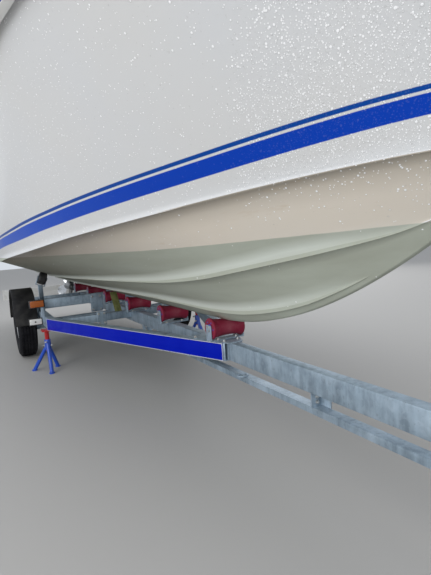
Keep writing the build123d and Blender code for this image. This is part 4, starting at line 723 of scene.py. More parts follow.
def joined(name, pieces, finish, slot, node, bevel=0.0, angle=35, segments=2):
    """One piece out of several, with eased edges, that moves with a made piece."""
    bpy.ops.object.select_all(action="DESELECT")
    for piece in pieces:
        piece.select_set(True)
    bpy.context.view_layer.objects.active = pieces[0]
    if len(pieces) > 1:
        bpy.ops.object.join()
    piece = bpy.context.object
    piece.name = piece.data.name = name
    bpy.ops.object.transform_apply(location=True, rotation=True, scale=True)
    smoothed(piece, bevel, angle, segments)
    coat(piece, finish)
    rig.ride(piece, body_of(node))
    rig.slot(piece, slot)
    return piece


def at(x, y, z):
    """A place given from the trailer's junction in millimetres, as the solids are."""
    return Vector((x / 1000 + V_AT, y / 1000, z / 1000))


def spoke(angle, reach):
    """A step out from an axle that lies across the boat."""
    return Vector((math.cos(angle), 0, math.sin(angle))) * reach


UP, AFT = Vector((0, 0, 1)), Vector((-1, 0, 0))


# The trailer's frame is welded and bolted box section, dipped in molten zinc. The zinc has gone blue-grey in the
# weather, with vertical runs, a faint crystal pattern and paler worn corners.
ZINC, ZINC_DARK, ZINC_PALE = (0.33, 0.42, 0.50), (0.20, 0.26, 0.315), (0.50, 0.60, 0.69)
zinc = Finish("galvanised", ZINC, 0.5, 0.55)
x, y, z = zinc.parts(zinc.place)
runs = zinc.noise(30.0, (1, 1, 0.22), 5.0, 0.6)
crystals = zinc.parts(zinc.cells(55.0, out="Color"))[0]
weather = zinc.mix(runs.ramp(0.36, 0.66), ZINC_DARK, ZINC)
weather = zinc.mix(zinc.noise(6.0, detail=4.0).ramp(0.48, 0.72) * 0.6, weather, ZINC_PALE)
weather = zinc.mix(crystals * 0.22, weather, ZINC_PALE)
grime = zinc.noise(90.0, (1, 1, 0.5), 4.0).ramp(0.62, 0.75)
weather = zinc.mix(grime * 0.35, weather, (0.12, 0.115, 0.10))
zinc.set(Base_Color=weather, Roughness=0.4 + runs * 0.25 + crystals * 0.06)
zinc.bump(runs * 0.5 + crystals * 0.3, 0.0006, 0.6)
for node, bevel in (("drawbar", 0.003), ("side_beams", 0.003), ("cross_beams", 0.0025), ("lower_chord", 0.002),
                    ("axle", 0.003), ("roller_brackets", 0.0015), ("side_supports", 0.0015), ("winch_post", 0.002),
                    ("lamp_brackets", 0.0015), ("jockey_tube", 0.0015), ("jockey_leg", 0.001),
                    ("jockey_fork", 0.001), ("winch", 0.0015)):
    eased(node, zinc, "galvanised", bevel=bevel)


# Hexagon bolts hold the trailer together, each on its washer, and end caps and split pins keep the rollers on
# their shafts. All are zinc-plated steel, brighter than the dipped frame.
BOLT_HALF, BOLT_TALL = 0.0095, 0.0075
bright = Finish("bright_zinc", (0.52, 0.53, 0.52), 0.36, 0.9)
bright.soil(1, (0.56, 0.57, 0.56), (0.33, 0.32, 0.29), 60.0, (0.45, 0.7), (0.3, 0.25), 35.0, detail=4.0)


def hex_bolt(place, axis, size=1.0):
    """A bolt head with its washer, seated at a place."""
    place, axis = Vector(place), Vector(axis).normalized()
    top = 0.001 + BOLT_TALL * size
    return [disc(place, axis, -0.001, 0.002, BOLT_HALF * 1.25 * size, 20),
            disc(place, axis, 0.001, top, BOLT_HALF * size, 6),
            disc(place, axis, 0, top + 0.003, BOLT_HALF * 0.5 * size, 12)]


bolts = []
for side in (1, -1):
    for height in (388, 470):
        for across in (272, 322):
            bolts += hex_bolt(at(-1694, side * across, height), (1, 0, 0), 0.9)
    for across, height in ((85, 390), (85, 530), (165, 390), (165, 530)):
        bolts += hex_bolt(at(-2574, side * across, height), (1, 0, 0))
    for along in (-2620, -2510):
        for height in (380, 350):
            bolts += hex_bolt(at(along, side * 715, height - 12), (0, side, 0), 1.1)
    for x_at, y_at in ((-230, 118), (-120, 82), (-20, 44)):
        bolts += hex_bolt(at(x_at, side * y_at, 470.5), (0, 0, 1), 0.85)
for spot in (-1400, -420, 690, 2200):
    for height in (322, 346):
        bolts += hex_bolt(at(spot - 24, 0, height), (1, 0, 0), 0.8)
        bolts += hex_bolt(at(spot + 8, 30, height), (0, 1, 0), 0.8)
for along in (1815, 1945):
    for across in (-56, 56):
        bolts += hex_bolt(at(along, across, 472.5), (0, 0, 1))
joined("frame_bolts", bolts, bright, "galvanised", "drawbar", bevel=0.0006)

ROLLER_AXIS = (0.926987, 0.375095)   # the side rollers lie along the hull's slope: across, up
pins = []
for along in (-80, -825, -1580, -2325, -3075, -3820):
    seat = 476.5 if along > -290 else 470.5
    for side in (1, -1):
        pins.append(disc(at(along, side * 107, 540), Vector((0, side, 0)), 0, 0.0025, 0.017))
        split = [at(along + step, side * 112, height) for step, height in ((-12, 554), (0, 540), (13, 527))]
        pins.append(tube(split, 0.0018))
        pins += hex_bolt(at(along + 16, side * 60, seat), UP, 0.75)
for side in (1, -1):
    lean = Vector((0, side * ROLLER_AXIS[0], ROLLER_AXIS[1]))
    for end in (1, -1):
        tip = at(-3000, side * 584.494, 746.782) + lean * end * 0.051
        pins.append(disc(tip, lean * end, -0.003, 0.002, 0.015))
joined("roller_pins", pins, bright, "galvanised", "roller_brackets", bevel=0.0004)


# The side boards are thin painted strips on the outer faces of the splayed beams. A bright silver edge runs all
# round each, and the face has a hard gloss with rain spots.
SPLAY = math.atan2(722 - 56, 1880)
BOARD_NEAR, BOARD_FAR = (-12, 60.25), (-1876, 720.6)
BOARD_BLUE = (0.0, 0.008, 0.36)
board_blue = Finish("board_blue", BOARD_BLUE, 0.35, Coat_Weight=0.05, Coat_Roughness=0.2,
                    Specular_IOR_Level=0.05)
spots = board_blue.cells(130.0)
specks = board_blue.parts(board_blue.cells(130.0, out="Color"))[0]
faded = board_blue.noise(8.0, detail=5.0).ramp(0.4, 0.75) * 0.4
board_blue.set(Base_Color=board_blue.mix(faded, BOARD_BLUE, (0.002, 0.015, 0.42)),
               Roughness=0.3 + board_blue.noise(14.0).ramp(0.3, 0.8) * 0.2)
board_blue.bump((1 - spots / 0.3).clipped() * (specks < 0.12), 0.0004, 0.4)
eased("side_boards", board_blue, "blue_board", bevel=0.0008)
silver = Finish("board_edge", (0.70, 0.71, 0.72), 0.3, 0.8)
silver.set(Roughness=0.25 + silver.noise(40.0).ramp(0.3, 0.7) * 0.2)
edges = []
for side in (1, -1):
    near, far = (at(p[0], side * p[1], 414.5) for p in (BOARD_NEAR, BOARD_FAR))
    out = Vector((math.sin(SPLAY), side * math.cos(SPLAY), 0))
    heading = -side * SPLAY
    length = (far - near).length
    middle = (near + far) / 2 + out * 0.0042
    for height in (-0.0478, 0.0478):
        edges.append(block((length, 0.0016, 0.0044), middle + UP * height, (0, 0, heading)))
    for end, inward in ((near, 1), (far, -1)):
        step = (far - near).normalized() * 0.0022 * inward
        edges.append(block((0.0044, 0.0016, 0.0912), end + step + out * 0.0042, (0, 0, heading)))
joined("board_edges", edges, silver, "blue_board", "side_boards", bevel=0.0004)


# The keel rollers are moulded maroon rubber on steel pins. The keel has worn them dull in the middle, and small
# blue nylon bushes show at their ends.
maroon = Finish("roller_rubber", (0.20, 0.009, 0.03), 0.55, Specular_IOR_Level=0.3)
x, y, z = maroon.parts(maroon.place)
chalk = maroon.noise(22.0, detail=6.0, rough=0.65).ramp(0.5, 0.75)
worn_band = 1 - (abs(y) / 0.05).clipped()
marks = (chalk * 0.45 + worn_band * 0.35).clipped()
maroon.set(Base_Color=maroon.mix(marks, (0.21, 0.009, 0.032), (0.30, 0.09, 0.11)), Roughness=0.42 + chalk * 0.3)
maroon.bump(maroon.noise(180.0, detail=4.0) + chalk, 0.0004, 0.6)
nylon = Finish("blue_nylon", (0.006, 0.05, 0.40), 0.4)
nylon.grain(150.0, 0.0002, 0.4)
for n in range(1, 7):
    name = f"keel_roller_{n}"
    eased(name, maroon, "red_rubber", bevel=0.003, angle=28, segments=3)
    low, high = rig.box(name)
    bushes = []
    for side in (1, -1):
        out = Vector((0, side, 0))
        face = (low + high) / 2 + out * 0.098
        bushes.append(disc(face, out, -0.001, 0.0018, 0.028, 32, 0.026))
        for turn in range(6):
            bushes.append(disc(face + spoke(turn * math.pi / 3, 0.041), out, -0.001, 0.0012, 0.005, 12, 0.004))
    joined(f"{name}_bush", bushes, nylon, "red_rubber", name, bevel=0.0003)


# The side rollers are black rubber with ribs round them, and they lean as the hull's bottom does. The stem rests
# against a block of the same rubber.
black = Finish("black_rubber", (0.022, 0.022, 0.023), 0.6)
black.soil(1, (0.02, 0.02, 0.021), (0.07, 0.068, 0.064), 18.0, (0.45, 0.75), (0.5, 0.25), 30.0, detail=5.0)
black.grain(220.0, 0.0003)
for n, side in ((1, 1), (2, -1)):
    name = f"side_roller_{n}"
    eased(name, black, "black_rubber", bevel=0.002, angle=28)
    low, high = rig.box(name)
    lean = Vector((0, side * ROLLER_AXIS[0], ROLLER_AXIS[1]))
    ribs = [ring((low + high) / 2 + lean * step, lean, 0.0632, 0.0026, 48, 8)
            for step in (-0.022, -0.011, 0, 0.011, 0.022)]
    joined(f"{name}_ribs", ribs, black, "black_rubber", name)
eased("bow_stop", black, "black_rubber", bevel=0.003)


# The road tyres are radial van tyres: a rubber tread of blocks between four grooves, plain sidewalls, a bead
# against the rim and a light ring of old dirt.
TYRE_STEPS, TREAD_BLOCKS = 128, 62
TYRE_SECTION = [                 # across from the middle, radius
    (0.065, 0.1935), (0.074, 0.2), (0.079, 0.216), (0.0845, 0.236), (0.085, 0.252), (0.0835, 0.27), (0.078, 0.288),
    (0.070, 0.2985), (0.0585, 0.3065), (0.043, 0.3095), (0.0425, 0.303), (0.036, 0.303), (0.0355, 0.310),
    (0.0155, 0.3105), (0.015, 0.3035), (0.009, 0.3035), (0.0085, 0.3107),
]
TREAD_ROWS = [                   # across from the middle, width, skew, radius
    (0.0, 0.0155, 0.0, 0.3118), (0.0255, 0.018, 0.3, 0.3118), (-0.0255, 0.018, -0.3, 0.3118),
    (0.054, 0.02, 0.15, 0.3085), (-0.054, 0.02, -0.15, 0.3085),
]
LUG_CORNERS = [Vector((x, y, z)) for x in (-0.5, 0.5) for y in (-0.5, 0.5) for z in (-0.5, 0.5)]
LUG_FACES = ((0, 1, 3, 2), (4, 6, 7, 5), (0, 4, 5, 1), (2, 3, 7, 6), (0, 2, 6, 4), (1, 5, 7, 3))
tyre_rubber = Finish("tyre_rubber", (0.012, 0.012, 0.013), 0.75, Specular_IOR_Level=0.1)
tyre_rubber.soil(0.7, (0.009, 0.009, 0.011), (0.032, 0.033, 0.036), 12.0, (0.42, 0.72), (0.62, 0.25), detail=6.0,
                 rough=0.6)
tyre_rubber.grain(200.0, 0.0004)
for name in ("left", "right"):
    low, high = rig.box(f"{name}_tyre")
    centre = (low + high) / 2
    section = TYRE_SECTION + [(-across, radius) for across, radius in reversed(TYRE_SECTION)]
    count = len(section)
    spots = [centre + Vector((0, across, 0)) + spoke(2 * math.pi * k / TYRE_STEPS, radius)
             for k in range(TYRE_STEPS) for across, radius in section]
    faces = [(k * count + i, k * count + (i + 1) % count, (k + 1) % TYRE_STEPS * count + (i + 1) % count,
              (k + 1) % TYRE_STEPS * count + i) for k in range(TYRE_STEPS) for i in range(count)]
    for k in range(TREAD_BLOCKS):
        for across, width, skew, radius in TREAD_ROWS:
            spin = 2 * math.pi * k / TREAD_BLOCKS + (math.pi / TREAD_BLOCKS if across > 0 else 0)
            place = centre + Vector((math.sin(spin) * radius, across, math.cos(spin) * radius))
            lug = (Matrix.Translation(place) @ Matrix.Rotation(spin, 4, "Y") @ Matrix.Rotation(skew, 4, "Z")
                   @ Matrix.Diagonal((0.0245, width, 0.0056, 1)))
            faces += [[len(spots) + corner for corner in face] for face in LUG_FACES]
            spots += [lug @ corner for corner in LUG_CORNERS]
    ribbon = bpy.data.meshes.new("tyre")
    ribbon.from_pydata(spots, [], faces)
    tyre = added("tyre", ribbon)
    edited(bpy.ops.mesh.normals_make_consistent, inside=False)
    tyre = joined(f"{name}_tyre_finished", [tyre], tyre_rubber, "tyre_rubber", f"{name}_tyre", angle=32)
    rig.replaces(tyre, f"{name}_tyre")


# The wheels are pressed steel, sprayed silver and rusting in spots, with five nuts round a plain hub, a grease
# cap and a valve.
NUTS, NUT_CIRCLE = 5, 0.082
silver_paint = Finish("rim_paint", (0.50, 0.51, 0.52), 0.38, 0.6)
silver_paint.soil(0.55, (0.50, 0.51, 0.52), (0.17, 0.085, 0.045), 14.0, (0.6, 0.72), (0.34, 0.4), detail=8.0,
                  rough=0.7)
for name, side in (("left", 1), ("right", -1)):
    eased(f"{name}_rim", silver_paint, "rim_paint", bevel=0.0015, angle=28)
    hub, out = at(-2717, side * 831, 315), Vector((0, side, 0))
    nuts = [disc(hub, out, 0.066, 0.071, 0.034, 32, 0.03),
            disc(hub + Vector((0.155, 0, 0.02)), out, 0.02, 0.058, 0.004, 12, 0.0035)]
    for k in range(NUTS):
        spot = hub + spoke(2 * math.pi * k / NUTS + 0.3, NUT_CIRCLE)
        nuts += [disc(spot, out, 0.036, 0.049, 0.012, 6), disc(spot, out, 0.046, 0.053, 0.008, 16, 0.006)]
    joined(f"{name}_wheel_nuts", nuts, bright, "rim_paint", f"{name}_rim", bevel=0.0006)


# The mudguards are blow-moulded black plastic with a rolled lip along each long edge. Steel brackets hold them,
# and road dust greys them in patches.
guard_plastic = Finish("guard_plastic", (0.013, 0.014, 0.016), 0.5, Specular_IOR_Level=0.15)
guard_plastic.soil(0.6, (0.012, 0.012, 0.013), (0.06, 0.058, 0.054), 9.0, (0.45, 0.75), (0.38, 0.3), detail=5.0)
guard_plastic.grain(260.0, 0.0003)
eased("mudguards", guard_plastic, "black_plastic", bevel=0.002)
lips = []
for side in (1, -1):
    for across in (739, 929):
        hub = at(-2717, side * across, 315)
        lips.append(tube([hub + spoke(math.radians(7 + 166 * k / 40), 0.3635) for k in range(41)], 0.0045))
joined("mudguard_lips", lips, guard_plastic, "black_plastic", "mudguards")


# The stands are screw props: a blue painted tripod of tube, a red painted post through its collar, and bright
# cross-pins that lock the height.
blue_paint = Finish("stand_blue", (0.006, 0.06, 0.42), 0.35, Coat_Weight=0.3)
blue_paint.soil(0.7, (0.006, 0.06, 0.42), (0.25, 0.24, 0.23), 38.0, (0.64, 0.7), (0.3, 0.4), detail=7.0, rough=0.7)
red_paint = Finish("stand_red", (0.42, 0.012, 0.016), 0.4, Coat_Weight=0.2)
red_paint.soil(0.6, (0.42, 0.012, 0.016), (0.16, 0.07, 0.05), 45.0, (0.6, 0.7), (0.34, 0.4), detail=7.0, rough=0.7)
eased("stand_legs", blue_paint, "blue_paint", bevel=0.0015)
eased("stand_posts", red_paint, "red_paint", bevel=0.0015)
stand_pins = []
for side in (1, -1):
    for height, reach, turn in ((262, 0.046, 0.5), (225, 0.034, 2.1)):
        aim = Vector((math.cos(turn), side * math.sin(turn), 0))
        middle = at(-1925, side * 727, height)
        stand_pins.append(disc(middle, aim, -reach, reach, 0.0055, 16))
        stand_pins.append(ring(middle + aim * (reach + 0.008), UP, 0.011, 0.0016, 24, 8))
        stand_pins.append(disc(middle, aim, -reach - 0.004, -reach, 0.009, 16))
joined("stand_pins", stand_pins, bright, "blue_paint", "stand_legs", bevel=0.0005)


# The lashing and the winch strap are flat olive polyester webbing with a diagonal woven rib, a little uneven in
# its dye.
webbing = Finish("webbing", (0.12, 0.13, 0.03), 0.85)
weave = webbing.node("ShaderNodeTexWave", {"bands_direction": "DIAGONAL"},
                     {"Vector": webbing.place, "Scale": 190.0})
webbing.set(Base_Color=webbing.mix(webbing.noise(25.0, detail=4.0).ramp(0.35, 0.7), (0.10, 0.115, 0.03),
                                   (0.20, 0.20, 0.07)))
webbing.bump(weave, 0.0006, 0.8)
eased("straps", webbing, "webbing", bevel=0.0006)


# The deck, side decks, cockpit moulding and platform are white gelcoat over glass fibre, a little chalky. Where
# people stand, a fine grey diamond grip is moulded in.
SOLE_TOP, DECK_LOW, PLATFORM_TOP, PLATFORM_FORE = 1.095, 1.84, 1.26, -3.25
deck_white = Finish("white_gelcoat", (0.63, 0.625, 0.61), 0.28, Coat_Weight=0.4, Coat_Roughness=0.15)
x, y, z = deck_white.parts(deck_white.place)
out_z = deck_white.parts(deck_white.facing)[2]
platform = (x < PLATFORM_FORE) * (z < PLATFORM_TOP)
smooth_part = (z - SOLE_TOP).ramp(0.0, 0.02) * (z < DECK_LOW) * (1 - platform)
level = out_z.ramp(0.72, 0.80) * (1 - smooth_part)
diamonds = deck_white.cells(210.0, chaos=0.15)
patch = deck_white.noise(3.0, detail=6.0).ramp(0.4, 0.75)
grip = deck_white.mix(patch * 0.5, (0.38, 0.385, 0.39), (0.30, 0.305, 0.30))
white = deck_white.mix(patch * 0.35, (0.63, 0.625, 0.61), (0.52, 0.51, 0.49))
deck_white.set(Base_Color=deck_white.mix(level * 0.8, white, grip), Roughness=0.26 + level * 0.4 + patch * 0.12,
               Coat_Weight=0.4 * (1 - level))
deck_white.bump(level * (1 - diamonds / 0.5).clipped(), 0.0009, 0.7)
for node, bevel in (("deck", 0.006), ("cockpit_coaming", 0.008), ("cockpit_liner", 0.004), ("swim_platform", 0.006),
                    ("engine_lid", 0.003)):
    eased(node, deck_white, "white_gelcoat", bevel=bevel, segments=3)


# Smoked acrylic makes the cabin door and the fore hatch. Each pane has a slim anodised frame, the hatch has two
# turning catches and the door a handle.
smoked = Finish("smoked_acrylic", (0.012, 0.013, 0.016), 0.12, Coat_Weight=0.6, Coat_Roughness=0.05)
smoked.set(Roughness=0.08 + smoked.noise(7.0, detail=6.0).ramp(0.45, 0.8) * 0.22)
alloy = Finish("anodised_aluminium", (0.60, 0.61, 0.63), 0.35, 0.9)
alloy.set(Roughness=0.28 + alloy.noise(60.0, (1, 1, 0.2), 4.0) * 0.2)
alloy.grain(240.0, 0.0001, 0.4, stretch=(1, 1, 0.15))
steel = Finish("stainless", (0.66, 0.67, 0.68), 0.14, 1.0)
steel.set(Roughness=0.1 + steel.noise(40.0, detail=5.0).ramp(0.4, 0.8) * 0.16)
eased("cabin_door", smoked, "tinted_acrylic", bevel=0.0015)
eased("fore_hatch", smoked, "tinted_acrylic", bevel=0.005, segments=3)
dark = Finish("dark_plastic", (0.035, 0.035, 0.038), 0.45)
dark.soil(1, (0.03, 0.03, 0.032), (0.075, 0.073, 0.07), 10.0, (0.5, 0.8), (0.4, 0.2), 24.0, detail=5.0)
dark.grain(300.0, 0.0002, detail=2.0)
hatch_low, hatch_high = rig.box("fore_hatch")
trim, catches = [], []
for side in (1, -1):
    trim.append(block((0.536, 0.034, 0.0035), (hatch_low.x + 0.272, side * 0.241, hatch_high.z + 0.0008)))
    trim.append(block((0.034, 0.45, 0.0035), (hatch_low.x + 0.272 + side * 0.251, 0, hatch_high.z + 0.0008)))
    for along in (0.04, 0.5):
        trim += hex_bolt((hatch_low.x + along, side * 0.241, hatch_high.z + 0.0022), UP, 0.35)
    spot = Vector((hatch_low.x + 0.085, side * 0.15, hatch_high.z))
    catches.append(disc(spot, UP, 0, 0.008, 0.02, 24, 0.017))
    catches.append(block((0.052, 0.012, 0.008), spot + Vector((0.01, 0, 0.011)), (0, 0, side * 0.3)))
joined("hatch_frame", trim, alloy, "tinted_acrylic", "fore_hatch", bevel=0.001)
joined("hatch_catches", catches, dark, "tinted_acrylic", "fore_hatch", bevel=0.001)
door_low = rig.box("cabin_door")[0]
door_trim = []
for side in (1, -1):
    door_trim.append(block((0.004, 0.03, 0.73), (door_low.x + 0.0115, side * 0.238, 1.495)))
for height in (1.122, 1.868):
    door_trim.append(block((0.004, 0.47, 0.03), (door_low.x + 0.0115, 0, height)))
handle = Vector((door_low.x + 0.009, -0.2, 1.5))
door_trim.append(disc(handle, AFT, 0, 0.02, 0.021, 24, 0.018))
door_trim.append(block((0.012, 0.085, 0.018), handle + Vector((-0.024, 0.03, 0))))
joined("door_frame", door_trim, alloy, "tinted_acrylic", "cabin_door", bevel=0.0012)


# The windscreen is tinted toughened glass in a frame of bent alloy tube, with a rounded joint wherever two runs
# of the tube meet.
glass = Finish("windscreen_glass", (0.035, 0.07, 0.075), 0.04, Alpha=0.42, Coat_Weight=0.5, Coat_Roughness=0.03)
glass.set(Roughness=0.04 + glass.noise(9.0, detail=5.0).ramp(0.55, 0.85) * 0.12)
eased("windscreen_glass", glass, "tinted_glass", angle=20)
eased("windscreen_frame", alloy, "anodised_aluminium", angle=40)
screen = [(-560, 0, 256), (-610, 300, 256), (-760, 620, 246), (-960, 850, 186), (-1300, 985, 104), (-1900, 1010, 90)]
clamps = []
for along, across, rise in screen[1:]:
    for side in (1, -1):
        spot = at(along, side * across, 1790 + 0.025 * along + rise)
        clamps.append(ball(spot, 0.0155, (1, 1, 0.9)))
joined("screen_joints", clamps, alloy, "anodised_aluminium", "windscreen_frame")


# The bow rail is polished stainless tube, welded at its posts, each on a round base plate with three screws.
eased("bow_rail", steel, "stainless", angle=40)
bases = []
for along, inset in ((-300, 60), (250, 60), (900, 60), (1440, 50), (1840, 40)):
    sheer_half, sheer_top = sheer_at(along / 1000 + V_AT)
    crown = 0.25 - 0.15 * (along + 900) / 3067 if along < 1500 else 0.132 - 0.082 * (along - 1500) / 400
    rise = crown * 0.16 * (inset / 1000) / (0.21 * sheer_half / 1.13)
    for side in (1, -1):
        foot = Vector((along / 1000 + V_AT, side * (sheer_half - inset / 1000), sheer_top + rise))
        bases.append(disc(foot, UP, -0.002, 0.005, 0.034, 32, 0.031))
        bases.append(disc(foot, UP, 0.004, 0.014, 0.02, 24, 0.013))
        for k in range(3):
            angle = 2 * math.pi * k / 3 + 0.5
            spot = foot + Vector((math.cos(angle) * 0.025, math.sin(angle) * 0.025, 0.0045))
            bases.append(ball(spot, 0.0038, (1, 1, 0.5), 12))
joined("rail_bases", bases, steel, "stainless", "bow_rail", bevel=0.0008)
eased("deck_fittings", steel, "stainless", bevel=0.003, angle=30, segments=3)
cleats = []
for along, lift in ((1300, 22), (-4200, 63)):
    sheer_half, sheer_top = sheer_at(along / 1000 + V_AT)
    for side in (1, -1):
        middle = Vector((along / 1000 + V_AT, side * (sheer_half - 0.09), sheer_top + lift / 1000 + 0.03))
        for end in (1, -1):
            cleats.append(ball(middle + Vector((end * 0.075, 0, 0)), 0.0105, (1.3, 1, 1), 16))
joined("cleat_tips", cleats, steel, "stainless", "deck_fittings")


# A soft white rail runs round the sheer to take knocks, and it is scraped along its length. A blue rope-like
# insert is pressed into its groove.
rail_white = Finish("rub_rail", (0.66, 0.66, 0.64), 0.5)
rail_white.soil(0.6, (0.68, 0.68, 0.66), (0.34, 0.33, 0.31), 28.0, (0.6, 0.72), (0.42, 0.3), stretch=(0.25, 1, 2),
                detail=7.0, rough=0.7)
eased("rub_rail", rail_white, "rail_plastic", bevel=0.003, angle=28)
insert_blue = Finish("rail_insert", (0.006, 0.06, 0.38), 0.5)
insert_blue.grain(120.0, 0.0003)
inserts = []
for side in (1, -1):
    run = []
    along = TRANSOM + 0.01
    while along < 3.2:
        sheer_half, sheer_top = sheer_at(along)
        run.append((along, side * (sheer_half + 0.0145), sheer_top - 0.023))
        along += 0.12
    inserts.append(tube(run, 0.009))
joined("rail_insert", inserts, insert_blue, "rail_plastic", "rub_rail")


# The drive is cast aluminium in satin black marine paint: a bolted transom plate, a steering yoke, and a leg with
# cooling slots and zinc anodes.
drive_paint = Finish("drive_paint", (0.03, 0.031, 0.033), 0.38)
drive_paint.soil(0.6, (0.028, 0.029, 0.031), (0.14, 0.14, 0.135), 16.0, (0.55, 0.75), (0.32, 0.35), detail=7.0,
                 rough=0.65)
drive_paint.grain(130.0, 0.0003, detail=4.0)
for node, bevel in (("transom_plate", 0.006), ("drive_gimbal", 0.006), ("engine_block", 0.012)):
    eased(node, drive_paint, "drive_paint", bevel=bevel, segments=3)
eased("drive_leg", drive_paint, "drive_paint", bevel=0.016, angle=40, segments=4)
plate_bolts, leg_trim = [], []
for side in (1, -1):
    for height in (670, 800, 940):
        plate_bolts += hex_bolt(at(-4340, side * 165, height), AFT, 1.2)
    for step in range(5):
        leg_trim.append(block((0.05, 0.003, 0.006), at(-4690 + step * 4, side * 30.5, 640 - step * 16), (0, 0.25, 0)))
    for along, height in ((-4560, 905), (-4690, 905), (-4720, 690), (-4560, 690)):
        leg_trim += hex_bolt(at(along, side * 78, height), (0, side, 0))
joined("transom_bolts", plate_bolts, bright, "drive_paint", "transom_plate", bevel=0.0006)
joined("leg_details", leg_trim, bright, "drive_paint", "drive_leg", bevel=0.0005)
anode = Finish("anode_zinc", (0.40, 0.41, 0.41), 0.7, 0.4)
anode.grain(60.0, 0.0015, 0.8, detail=6.0, rough=0.7)
for name, size, place, node in (("leg_anode", (0.11, 0.05, 0.016), (-4790, 0, 697), "drive_leg"),
                                ("plate_anode", (0.016, 0.11, 0.05), (-4345, 0, 655), "transom_plate")):
    joined(name, [block(size, at(*place))], anode, "drive_paint", node, bevel=0.004)


# The propeller is polished steel: three thin blades on a hub, each of them widening, then narrowing to a round
# tip, and twisted less towards it.
BLADES, BLADE_RINGS, BLADE_CHORDS = 3, 9, 13
HUB_RADIUS, BLADE_REACH, BLADE_THICK = 0.044, 0.139, 0.0042
prop_steel = Finish("prop_steel", (0.52, 0.53, 0.54), 0.22, 1.0)
prop_steel.set(Roughness=0.16 + prop_steel.noise(22.0, detail=6.0).ramp(0.4, 0.8) * 0.3)
hub_at = at(-4940, 0, 495)
propeller = [disc(hub_at, AFT, -0.055, 0.052, 0.047, 48, 0.043),
             ring(hub_at + AFT * 0.05, (1, 0, 0), 0.041, 0.004, 48, 10)]
flat = BLADE_RINGS * BLADE_CHORDS
outer = (BLADE_RINGS - 1) * BLADE_CHORDS
rim = [i * BLADE_CHORDS for i in range(BLADE_RINGS)] + [outer + j for j in range(1, BLADE_CHORDS)] + [
    i * BLADE_CHORDS + BLADE_CHORDS - 1 for i in range(BLADE_RINGS - 2, -1, -1)]
faces = [(a, b, flat + b, flat + a) for a, b in zip(rim, rim[1:])]
for sheet in (0, 1):
    for i in range(BLADE_RINGS - 1):
        for j in range(BLADE_CHORDS - 1):
            a = sheet * flat + i * BLADE_CHORDS + j
            quad = (a, a + 1, a + BLADE_CHORDS + 1, a + BLADE_CHORDS)
            faces.append(quad if sheet else quad[::-1])
for k in range(BLADES):
    spots = []
    for sheet in (1, -1):
        for i in range(BLADE_RINGS):
            grow = i / (BLADE_RINGS - 1)
            radius = HUB_RADIUS + BLADE_REACH * grow
            chord = 0.085 + 0.075 * math.sin(math.pi * min(grow * 0.8 + 0.12, 1))
            chord *= math.sqrt(max(1 - max(grow - 0.55, 0) ** 2 / 0.2026, 0.02))
            pitch = math.radians(58 - 30 * grow)
            for j in range(BLADE_CHORDS):
                c = j / (BLADE_CHORDS - 1) - 0.5
                thick = BLADE_THICK * (1.15 - grow) * math.sqrt(max(1 - (2 * c) ** 2, 0))
                angle = 2 * math.pi * k / BLADES + c * chord * math.cos(pitch) / radius - 0.25 * grow
                along = -c * chord * math.sin(pitch) + sheet * thick - 0.012 * grow
                spots.append(hub_at + Vector((along, radius * math.sin(angle), radius * math.cos(angle))))
    mesh = bpy.data.meshes.new("blade")
    mesh.from_pydata(spots, [], faces)
    propeller.append(added("blade", mesh))
    edited(bpy.ops.mesh.normals_make_consistent, inside=False)
prop = joined("propeller_finished", propeller, prop_steel, "prop_steel", "propeller", angle=40)
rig.replaces(prop, "propeller")
nut = [disc(hub_at, AFT, 0.05, 0.064, 0.017, 6)]
joined("propeller_nut", nut, bright, "prop_steel", "propeller", bevel=0.001)


# The swim ladder is polished stainless tube, hinged on lugs at the platform's edge, with three black moulded
# treads.
eased("swim_ladder", steel, "stainless", angle=40)
treads = [block((0.046, 0.235, 0.022), at(-4835 + along, 690, 1262)) for along in (150, 280, 410)]
joined("ladder_treads", treads, dark, "stainless", "swim_ladder", bevel=0.005)


# The helm: a vinyl-rimmed wheel with alloy spokes, a moulded dash with round gauges, switches and a side-mounted
# throttle lever.
eased("helm_wheel", dark, "dark_plastic", bevel=0.002, angle=40)
eased("dashboard", dark, "dark_plastic", bevel=0.008, segments=3)
helm_axis = Vector((-1, 0, 1)).normalized()
helm_at = at(-1112, -480, 1628)
badge = disc(helm_at, helm_axis, 0.096, 0.103, 0.034, 40, 0.028)
joined("helm_hub", [badge], alloy, "dark_plastic", "helm_wheel", bevel=0.0015)
face_white = Finish("gauge_face", (0.62, 0.62, 0.60), 0.4)
face_white.set(Base_Color=face_white.mix(face_white.noise(30.0), (0.60, 0.60, 0.58), (0.66, 0.66, 0.64)))
bezels, faces, needles = [], [], []
slope = helm_axis.to_track_quat("Z", "Y")
for k, across in enumerate((-710, -630, -330)):
    centre = at(-1100, across, 1640) + helm_axis * 0.0005
    bezels.append(ring(centre + helm_axis * 0.004, helm_axis, 0.034, 0.0032, 40, 8))
    faces.append(disc(centre, helm_axis, -0.002, 0.003, 0.033, 40))
    needle = block((0.0022, 0.024, 0.0012), centre + helm_axis * 0.0045)
    needle.rotation_euler = (slope @ Matrix.Rotation(0.7 * k + 0.4, 4, "Z").to_quaternion()).to_euler()
    needles.append(needle)
joined("gauge_bezels", bezels, alloy, "dark_plastic", "dashboard")
joined("gauge_faces", faces, face_white, "dark_plastic", "dashboard", bevel=0.0004)
joined("gauge_needles", needles, Finish("needle_red", (0.5, 0.02, 0.01), 0.4), "dark_plastic", "dashboard")
eased("seat_pedestals", alloy, "anodised_aluminium", bevel=0.003, angle=30)


